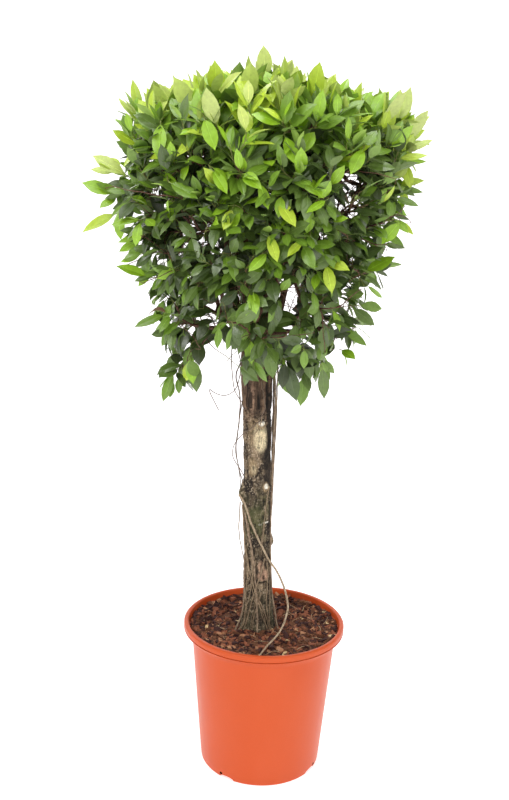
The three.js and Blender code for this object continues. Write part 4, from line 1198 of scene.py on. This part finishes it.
def shootEnds():
    # where each leafy shoot ends: the placed sprays, then those that the rule spreads over the crown
    rng = np.random.default_rng(crown["seed"])
    heart = np.array(crown["heart"])
    ends = [{"tip": mm(tip), "far": True, "lastLeaf": leaf["farLength"]} for tip in farTips]
    ends += [{"tip": mm(tip), "edge": True} for tip in edgeSprays]

    def spray(tip, way, light, length, **more):
        ends.append({"tip": tip, "way": unit(way), "light": light, "lastLeaf": length, **more})

    for *tip, light, length, rise in sideSprays:
        spray(mm(tip), (1.0 if tip[0] > 0 else -1.0, -0.15, rise), light, length / 1000, edge=True)
    for *tip, light, length in hangingSprays:
        tip = mm(tip)
        spray(tip, (1.2 * (tip[0] + 0.03) + rng.normal(0, 0.16), -0.12, -1.0), light, length / 1000)
    for *tip, light, length in brightSprays:
        tip, swing = mm(tip), rng.uniform(-1.2, 1.2)
        rise = math.cos(swing) if tip[2] > 1.12 else -math.cos(swing)
        spray(tip, (math.sin(swing), -0.40, rise), light, length / 1000)
    rim = [(radius, level) for level, radius in reversed(crown["outline"][-6:])]
    highest = crown["outline"][-1][0] + spires["clear"]
    for i in range(spires["count"]):
        r = spires["reach"] * math.sqrt((i + 0.5) / spires["count"])
        out = compass(180 + math.degrees(i * goldenTurn))
        level = min(float(table(rim, r)) + rng.uniform(*spires["stand"]), highest)
        way = out * (0.2 + 1.6 * r) + (0, 0, 1) + rng.normal(0, 0.12, 3)
        spray(out * r + (float(crownAxisX(level)), 0, level), way, rng.uniform(*spires["light"]),
              rng.uniform(*spires["leaf"]))
    for group in shootSets:
        scatter, bare = group["scatter"], group.get("bare")
        for i in range(group["count"]):
            climb, turn = 1 - 2 * (i + 0.5) / group["count"], i * goldenTurn + group["turn"]
            flat = math.sqrt(1 - climb * climb)
            way = np.array([flat * math.cos(turn), flat * math.sin(turn), climb])
            way = unit(way + rng.normal(0, 1, 3) * scatter)
            depth = group["depth"] + rng.normal(0, 0.4) * scatter
            tip = heart + way * crownReach(way) * min(depth, 0.99)
            kept = scatter == 0 or rng.uniform() < float(table(thinning, tip[2]))
            if bare:
                kept = bare[0] < tip[2] < bare[1]
            if kept:
                ends.append({"tip": tip, "bare": bool(bare)})
    for x, level, wide, tall in (mm(gap[:4]) for gap in skyGaps):
        for i in range(gapTwigs["count"] if level > gapTwigs["above"] else 0):
            aside = rng.uniform(-1.2, 1.2, 2)
            tip = np.array([x + wide * aside[0], rng.uniform(*gapTwigs["depth"]), level + tall * aside[1]])
            ends.append({"tip": tip, "way": unit(rng.normal(0, 1, 3) * (1.0, 0.4, 0.9)), "bare": True})
    return [{"far": False, "edge": False, "bare": False, **end} for end in ends]


def shareKept(spots):
    # which share of the leaves stays: open places run on through the crown as seen from the front
    eye = np.array(studio["camera"])
    lines = spots - eye
    seen = eye + lines * (-eye[1] / lines[:, 1])[:, None]
    share = np.ones(len(spots))
    for *gap, kept in skyGaps:
        x, level, wide, tall = mm(gap)
        inside = ((seen[:, 0] - x) / wide) ** 2 + ((seen[:, 2] - level) / tall) ** 2 < 1
        share = np.where(inside, np.minimum(share, kept), share)
    return share


def twigPath(knot, end):
    # a smooth curve that leaves the knot forwards and ends along the shoot's own way
    start, finish = knot["place"], end["tipOfTwig"]
    whole = np.linalg.norm(finish - start)
    first = unit(knot["way"] * 0.55 + unit(finish - start)) * whole * 0.8
    last = end["way"] * whole * 0.9
    t = np.linspace(0, 1, max(5, int(whole / twigs["step"])) + 1)[:, None]
    return ((2 * t ** 3 - 3 * t ** 2 + 1) * start + (t ** 3 - 2 * t ** 2 + t) * first
            + (3 * t ** 2 - 2 * t ** 3) * finish + (t ** 3 - t ** 2) * last)


def growTwigs(mass, ends, rng):
    # returns the mass's stem and twigs as paths, each with the places where others leave it
    start, ahead = mass["entry"], mass["entryWay"]
    middle = start + ahead * 0.026
    stem = smoothLine([start - ahead * 0.006, start, middle, mixed(middle, mass["centre"], 0.72)], 14)
    grown = [{"path": stem, "kids": []}]
    knots, (shortShare, shortUpTo) = [], twigs["shortShoots"]

    def addKnots(index, first, last, run):
        path = grown[index]["path"]
        along = pathRun(path)
        count = max(2, int((last - first) * along[-1] / twigs["knotEvery"]))
        for at in np.linspace(first, last, count) * along[-1]:
            way = unit(spotAt(path, along, at + 0.004) - spotAt(path, along, at - 0.004))
            spot = spotAt(path, along, at)
            knots.append({"place": spot, "way": way, "run": run + at, "twig": index, "at": at})

    addKnots(0, 0.15, 0.98, 0.0)
    for end in sorted(ends, key=lambda end: np.linalg.norm(end["base"] - start)):
        places, ways, runs = (np.array([knot[key] for knot in knots]) for key in ("place", "way", "run"))
        toEnd = end["tipOfTwig"] - places
        distance = np.linalg.norm(toEnd, axis=1)
        bend = 1 - np.einsum("ij,ij->i", toEnd / distance[:, None], ways)
        cost = distance * (1 + twigs["bendCost"] * bend) + twigs["runCost"] * runs
        cost[distance < 0.02] = 9
        knot = knots[int(np.argmin(cost))]
        path = twigPath(knot, end)
        length = pathRun(path)[-1]
        leafy = min(rng.uniform(*twigs["leafy"]), length * 0.88)
        if end["tip"][2] < shortUpTo and rng.uniform() < shortShare:
            leafy *= 0.5
        grown.append({"path": path, "kids": [], "leafy": leafy, "end": end})
        index = len(grown) - 1
        grown[knot["twig"]]["kids"].append((knot["at"], index))
        if length > 0.03:
            addKnots(index, 0.18, max(0.3, 1 - 0.6 * leafy / length), knot["run"])
    return grown


def borne(grown, index):
    # how many shoots a twig bears in all, itself counted
    twig = grown[index]
    if "bears" not in twig:
        twig["bears"] = 1 + sum(borne(grown, kid) for at, kid in twig["kids"])
    return twig["bears"]


def twigRadii(grown, index, along):
    twig = grown[index]
    bears = np.ones(len(along))
    for at, kid in twig["kids"]:
        bears += np.where(along <= at + 1e-6, borne(grown, kid), 0)
    radii = twigs["finest"] * bears ** twigs["thicken"]
    taper = 1 - 0.35 * along / max(along[-1], 1e-6)
    return np.minimum(radii * taper, boughKinds["low"]["tip"])


# leaves: an oval blade with a drip tip, folded at its raised midrib, on a short stalk

leaf = {
    "length": (0.032, 0.051),
    "width": 0.48,                      # of the length
    # share of the length, share of the half width
    "outline": [(0.0, 0.0), (0.08, 0.36), (0.23, 0.80), (0.44, 1.0), (0.64, 0.91), (0.81, 0.56),
                (0.92, 0.20), (1.0, 0.0)],
    "columns": (-1.0, -0.52, 0.0, 0.52, 1.0),
    "thick": 0.00035,
    "rib": (0.00055, 0.00030),          # half width and height of the midrib
    "stances": 6,                       # how many ways a leaf is turned before it is left out
    "farLength": 0.052,
    "overBox": 0.009,                   # how far leaves may stand over the source's own box
    "stalk": 0.008,
    "lastStalk": 0.6,                   # the last leaf's stalk as a share of the others'
    "stalkRadius": 0.0006,
    "everyMetre": 150,                  # leaves along a leafy shoot
    "opens": (68, 34, 8),               # degrees off the shoot, how much less at its end, and by chance
    "lastOpens": 8,
    "turnBy": 6,                        # degrees that each further stance opens
    "lean": (0.28, 0.098),              # how much a leaf's face is turned by chance, and a placed one's
    "bend": (0.15, 0.80),
    "fold": (0.06, 0.40),
    "youth": (0.20, 0.34),              # how much younger a shoot's end is, in low sprays and in others,
    "youthFrom": 1.0,                   # which start at this level
    "faceFront": 1.18,                  # placed sprays below this level turn their leaves to the front
    "shrink": 0.22,                     # how much smaller the youngest leaves are
    "edgeEase": 1.30,                   # how far placed sprays may stand out of the outline
    "trunkClear": (0.030, 0.835),       # leaves keep this far off the trunk's axis, up to this level
    "specular": 0.66,
}


def leafTemplate():
    # a blade's vertices, its triangles, which triangles are under it, and which vertices are margin (1) or
    # midrib (2); the lower side shares the upper side's margin
    rows, columns = leaf["outline"][1:-1], leaf["columns"]
    spots, kinds, grids = [(0.0, 0.0, 0.0), (0.0, 1.0, 0.0)], [3, 3], []
    for side in (0.0, -1.0):
        grids.append(np.zeros((len(rows), len(columns)), int))
        for i, (along, half) in enumerate(rows):
            for j, u in enumerate(columns):
                if side < 0 and abs(u) == 1:
                    grids[1][i, j] = grids[0][i, j]
                    continue
                grids[-1][i, j] = len(spots)
                spots.append((u * half, along, side))
                kinds.append((abs(u) == 1) + 2 * (u == 0))
    sides = []
    for grid in grids:
        tris = []
        for j in range(len(columns) - 1):
            tris += [(0, grid[0, j + 1], grid[0, j]), (1, grid[-1, j], grid[-1, j + 1])]
            for i in range(len(rows) - 1):
                a, b, c, d = grid[i, j], grid[i, j + 1], grid[i + 1, j + 1], grid[i + 1, j]
                tris += [(a, b, c), (a, c, d)]
        sides.append(np.array(tris))
    tris = np.concatenate([sides[0], sides[1][:, ::-1]])
    return np.array(spots), tris, np.repeat((0, 1), len(sides[0])), np.array(kinds)


leafSpots, leafTris, leafUnder, leafKinds = leafTemplate()


def ribTemplate():
    # a low tent of three columns that stands on the midrib: share across, share along, height
    alongs = np.linspace(0.0, 0.93, 5)
    wide, high = leaf["rib"]
    spots = []
    for along in alongs:
        taper = 1 - 0.75 * along
        spots += [(-wide * taper, along, 0.0), (0.0, along, high * taper), (wide * taper, along, 0.0)]
    return np.array(spots), gridTris(len(alongs), 3)


ribSpots, ribTris = ribTemplate()


def fromAll(leaves, key):
    return np.array([one[key] for one in leaves])


def leafShape(leaves):
    # all the given leaves as one part, bent, folded and waved each by its own numbers
    root, way, face = (fromAll(leaves, key) for key in ("root", "way", "face"))
    way = unit(way)
    across = unit(np.cross(way, face))
    up = unit(np.cross(across, way))
    length, half, bend, fold, skew, wave = (fromAll(leaves, key)[:, None] for key in (
        "length", "half", "bend", "fold", "skew", "wave"))

    def placed(wide, along, high):
        # from a leaf's own across, along and up to the plant's frame
        y = length * np.sin(bend * along) / bend
        z = high - length * (1 - np.cos(bend * along)) / bend
        x = wide + skew * length * along ** 2
        verts = (root[:, None] + x[..., None] * across[:, None] + y[..., None] * way[:, None]
                 + z[..., None] * up[:, None])
        return verts.reshape(-1, 3)

    u, along, side = leafSpots.T
    lifted = np.abs(u) * half * np.sin(fold) - 0.18 * half * u ** 2
    lifted = lifted + 0.018 * length * np.sin(along * 5.5 + wave) * u ** 2 * np.sign(u)
    blade = placed(u * half * np.cos(fold), along, lifted + side * leaf["thick"])
    shift = np.arange(len(leaves))[:, None, None]
    blades = part(blade, (leafTris[None] + shift * len(leafSpots)).reshape(-1, 3))
    blades[2] = np.tile(leafUnder, len(leaves))
    wide, along, high = ribSpots.T
    rib = placed(wide + 0 * length, along, high + 0 * length)
    ribs = part(rib, (ribTris[None] + shift * len(ribSpots)).reshape(-1, 3), 2)
    return joined([blades, ribs]), np.r_[np.tile(leafKinds, len(leaves)), np.zeros(len(rib), int)]


def stalkShape(leaves):
    # three-sided stalks from the twig to the blades
    radii, stalks = leaf["stalkRadius"] * np.array([1.2, 1.0, 0.7]), []
    for one in leaves:
        node, root = one["node"], one["root"]
        stalks.append(tube([node, mixed(node, root, 0.6), root + one["way"] * 0.004], radii, 3))
    return joined(stalks)


sunByLevel = [(0.70, 0.30), (0.85, 0.31), (1.00, 0.235), (1.12, 0.21), (1.17, 0.34), (1.21, 0.70),
              (1.26, 0.98)]
sizeByLevel = [(0.70, 1.06), (0.80, 1.04), (0.88, 0.94), (1.12, 0.94), (1.19, 1.18), (1.24, 1.32)]
hangByLevel = [(0.70, -0.70), (0.85, -0.40), (1.00, -0.15), (1.12, 0.12), (1.20, 0.7), (1.30, 1.2)]
deadLeafAt = (-0.222, -0.07, 0.888)
sun = {
    "shade": 0.9,                       # how much darker sprays get towards the crown's heart
    "spread": (0.11, 0.20),             # how much sprays differ, below and above topFrom
    "topFrom": 1.17,
    "fleck": 0.28,                      # how much brighter a few sprays are, as painted flecks of sunlight, from fleckFrom up
    "fleckShare": 0.16,
    "fleckFrom": 1.02,
}


def shootLight(end, rng):
    # how young and sunlit a spray is, from 0, old and shaded, to 1
    if "light" in end:
        return end["light"] + rng.normal(0, 0.02)
    tip = end["tip"]
    light = float(table(sunByLevel, tip[2])) - sun["shade"] * depthInCrown(tip)
    light += rng.normal(0, sun["spread"][int(tip[2] > sun["topFrom"])])
    if rng.uniform() < sun["fleckShare"] and tip[2] > sun["fleckFrom"]:
        light += sun["fleck"]
    return light


def growLeaves(twig, rng):
    # leaves along a shoot, each a golden turn on from the last, older ones first
    path, end = twig["path"], twig["end"]
    along, level = pathRun(path), end["tip"][2]
    light = shootLight(end, rng)
    youth = leaf["youth"][int(level >= leaf["youthFrom"] or "light" in end)]
    count = max(3, int(round(twig["leafy"] * leaf["everyMetre"])))
    start = rng.uniform(0, 2 * math.pi)
    hang, grows = float(table(hangByLevel, level)), float(table(sizeByLevel, level))
    out = unit(end["tip"] - np.array(crown["heart"]))
    if "lastLeaf" in end and (end["far"] or level < leaf["faceFront"]):
        out = np.array([0.25 * out[0], -1.0, 0.35])
    wide, less, chance = leaf["opens"]
    found = []
    for i in range(count + 1):
        last, share = i == count, i / count
        exact = last and "lastLeaf" in end
        at = along[-1] - twig["leafy"] * (1 - share)
        node = spotAt(path, along, at)
        axisWay = end["way"] if last else unit(node - spotAt(path, along, at - 0.006))
        side = unit(np.cross(axisWay, (0.13, 0.21, 1.0)))
        other = np.cross(axisWay, side)
        stalk = leaf["stalk"] * (leaf["lastStalk"] if last else 1.0)
        lean = rng.normal(0, 1, 3) * leaf["lean"][int(exact)]
        size = rng.uniform(*leaf["length"]) * grows * (1.0 - leaf["shrink"] * share ** 2)
        size = end["lastLeaf"] if exact else size
        stances = []
        for stance in range(leaf["stances"]):
            turn = start + (i + stance) * goldenTurn + rng.normal(0, 0.25)
            opens = leaf["lastOpens"] if last else wide - less * share + rng.normal(0, chance)
            opens = math.radians(opens + leaf["turnBy"] * stance)
            radial = side * math.cos(turn) + other * math.sin(turn)
            way = axisWay * math.cos(opens) + radial * math.sin(opens)
            way = end["way"] if exact else unit(way + np.array([0, 0, hang * 0.8]))
            face = out * 0.75 + np.array([0, 0, 0.65]) + lean
            if abs(np.dot(unit(face), way)) > 0.93:
                face = axisWay - radial
            stances.append({"root": node + unit(axisWay * 0.5 + way) * stalk, "way": way, "face": face})
        found.append({"node": node, "stances": stances, "length": size,
                      "half": size * leaf["width"] * rng.uniform(0.45, 0.55),
                      "bend": leaf["bend"][0] if exact else rng.uniform(*leaf["bend"]),
                      "fold": rng.uniform(*leaf["fold"]), "wave": rng.uniform(0, 6.3),
                      "skew": rng.normal(0, 0.04), "ease": rng.uniform(0.960, 1.045),
                      # ageAndLight is the spray's painted sunlight and shade plus the leaf's youth; it
                      # picks the leaf's colour kind
                      "ageAndLight": light + youth * share ** 2 + rng.normal(0, 0.06), "exact": exact,
                      "edge": end["far"] or end["edge"]})
    return found


def byTheTrunk(spots):
    near, highest = leaf["trunkClear"]
    off = spots - trunkCentre(spots[:, 2])
    return (np.hypot(off[:, 0], off[:, 1]) < near) & (spots[:, 2] < highest)


def leavesThatFit(leaves, rng):
    # each leaf takes the first of its stances that stays in the crown and off the trunk
    low, high = np.array(cadBox[0]) - leaf["overBox"], np.array(cadBox[1]) + leaf["overBox"]
    length, exact = fromAll(leaves, "length")[:, None], fromAll(leaves, "exact")
    ease = np.where(fromAll(leaves, "edge"), leaf["edgeEase"], fromAll(leaves, "ease"))
    settled = np.zeros(len(leaves), bool)
    for stance in range(leaf["stances"]):
        tried = [one["stances"][stance] for one in leaves]
        roots, ways = fromAll(tried, "root"), unit(fromAll(tried, "way"))
        tips, middles = roots + ways * length, roots + ways * length * 0.5
        fits = (inCrown(tips, ease) & inCrown(middles, np.maximum(ease, 1.0))) | exact
        fits &= ((tips > low) & (tips < high)).all(axis=1) & ~byTheTrunk(tips) & ~byTheTrunk(middles)
        for index in np.nonzero(fits & ~settled)[0]:
            leaves[index].update(tried[index], tip=tips[index], middle=middles[index])
        settled |= fits
    leaves = [one for one, fits in zip(leaves, settled) if fits]
    share = shareKept(fromAll(leaves, "middle"))
    return [one for one, stays in zip(leaves, rng.uniform(size=len(leaves)) < share) if stays]


leafKindsByAgeAndLight = [
    # name, up to which mix of youth and painted light, upper side, under side, roughness; the darkest kinds
    # are painted shade inside the crown, the palest painted sunlight on its top
    ("leavesDeep", 0.08, (0.036, 0.055, 0.013), (0.066, 0.098, 0.036), 0.30),
    ("leavesDark", 0.24, (0.064, 0.106, 0.023), (0.098, 0.146, 0.046), 0.29),
    ("leavesMid", 0.40, (0.104, 0.174, 0.028), (0.140, 0.210, 0.055), 0.30),
    ("leavesBright", 0.58, (0.152, 0.276, 0.022), (0.210, 0.340, 0.066), 0.32),
    ("leavesFresh", 0.80, (0.262, 0.465, 0.018), (0.305, 0.470, 0.076), 0.35),
    ("leavesLime", 1.06, (0.425, 0.575, 0.034), (0.440, 0.565, 0.105), 0.38),
    ("leavesPale", 9.0, (0.485, 0.590, 0.130), (0.500, 0.595, 0.180), 0.40),
]
deadLeafKind = ("leafDead", (0.150, 0.070, 0.025), (0.200, 0.110, 0.050), 0.60)


def leafMaterial(name, colour, roughness, veins):
    green = Finish(name, colour, roughness, leaf["specular"])
    mottle = green.grain(190, 3)
    fine = green.cells(900)
    paler = tuple(min(1.0, c * 1.12 + 0.002) for c in colour)
    deeper = tuple(c * 0.90 for c in colour)
    green.colour(green.blend(deeper, paler, green.levels(mottle, 0.3, 0.7)))
    green.roughness(mottle, roughness - 0.05, roughness + 0.10)
    green.bump((fine, 0.00010 * veins), (mottle, 0.0004 * veins))
    return green.material


def leafPiece(name, group, upper, under, roughness, replaces=()):
    rib = tuple(min(1.0, c * 1.5 + 0.03) for c in upper)
    shape, ridges = leafShape(group)
    finishes = [leafMaterial(name, upper, roughness, 1.0), leafMaterial(name + "Under", under, 0.58, 1.6),
                leafMaterial(name + "Rib", rib, roughness + 0.1, 1.0)]
    markSharp(makePiece(name, shape, finishes, replaces), ridges)
    return len(shape[1])


def endsByMass(rng):
    # each mass's own shoot ends, with the way each one grows and where its twig stops
    heart, own = np.array(crown["heart"]), [[] for mass in masses]
    for end in shootEnds():
        index = massAt(end["tip"])
        mass = masses[index]
        if inHollow(end["tip"], mass):
            continue
        out = unit(end["tip"] - mixed(heart, mass["centre"], 0.75 if end["far"] else 0.35))
        turnUp = float(table(lift, end["tip"][2]))
        way = unit(out + np.array([0, 0, turnUp]) * 0.8 + rng.normal(0, twigs["wander"], 3))
        end.setdefault("way", out if end["far"] else way)
        reach = end["lastLeaf"] + leaf["stalk"] * leaf["lastStalk"] if "lastLeaf" in end else twigs["reach"]
        end["tipOfTwig"] = end["tip"] - end["way"] * reach
        end["base"] = end["tipOfTwig"] - end["way"] * 0.06
        own[index].append(end)
    return own


def growCrown():
    rng = np.random.default_rng(crown["seed"] + 1)
    woody, green, leaves = [], [], []
    for mass, own in zip(masses, endsByMass(rng)):
        grown = growTwigs(mass, own, rng)
        stem = grown[0]["path"]
        woody.append(tube(stem, np.linspace(boughKinds["low"]["tip"], twigs["stem"], len(stem)), 8))
        for index, twig in enumerate(grown[1:], 1):
            radii = twigRadii(grown, index, pathRun(twig["path"]))
            wiggle = rng.normal(0, twigs["wiggle"], twig["path"].shape)
            wiggle[0], wiggle[-1] = 0, 0
            twig["path"] = path = twig["path"] + wiggle
            if twig["end"]["bare"]:
                woody.append(tube(path, radii, 4))
                continue
            isGreen = radii < twigs["finest"] * 1.3
            split = int(np.argmax(isGreen)) if isGreen.any() else len(path) - 1
            split = min(max(split, 2), len(path) - 2)
            woody.append(tube(path[:split + 1], radii[:split + 1], 5))
            green.append(tube(path[split:], radii[split:], 4))
            leaves += growLeaves(twig, rng)
    return woody, green, leavesThatFit(leaves, rng)


twigLook = {"grain": {"scale": 420, "detail": 4, "rough": 0.6}, "fade": (0.35, 0.68), "rough": (0.6, 0.85),
            "height": 0.0003}
twigKinds = {
    # material, then its dark and its pale colour
    "twigsWoody": ("twigBark", (0.066, 0.032, 0.022), (0.225, 0.114, 0.076)),
    "twigsGreen": ("greenShoot", (0.140, 0.130, 0.050), (0.270, 0.250, 0.090)),
    "leafStalks": ("leafStalk", (0.170, 0.230, 0.050), (0.300, 0.380, 0.090)),
}


def twigPiece(name, shape):
    makePiece(name, shape, [streaked(*twigKinds[name], **twigLook)])


def buildFoliage():
    woody, green, leaves = growCrown()
    names = [mass["name"] for mass in masses]
    twigPiece("twigsWoody", joined(woody))
    twigPiece("twigsGreen", joined(green))
    away = [np.linalg.norm(one["tip"] - deadLeafAt) for one in leaves]
    dead = leaves.pop(int(np.argmin(away)))
    dead.update(bend=1.6, fold=0.7)
    leafPiece(deadLeafKind[0], [dead], *deadLeafKind[1:])
    # each kind takes the leaves whose mix of youth and painted light lies in its band
    fromAgeAndLight = -9.0
    for name, upToAgeAndLight, upper, under, roughness in leafKindsByAgeAndLight:
        group = [one for one in leaves if fromAgeAndLight <= one["ageAndLight"] < upToAgeAndLight]
        fromAgeAndLight = upToAgeAndLight
        count = leafPiece(name, group, upper, under, roughness, names if name == "leavesMid" else ())
        print(name, len(group), "leaves,", count, "triangles")
    stalks = stalkShape(leaves + [dead])
    twigPiece("leafStalks", stalks)
    print(len(leaves) + 1, "leaves in all,", len(stalks[1]), "triangles of stalks")


buildFoliage()
print("crown in leaf")
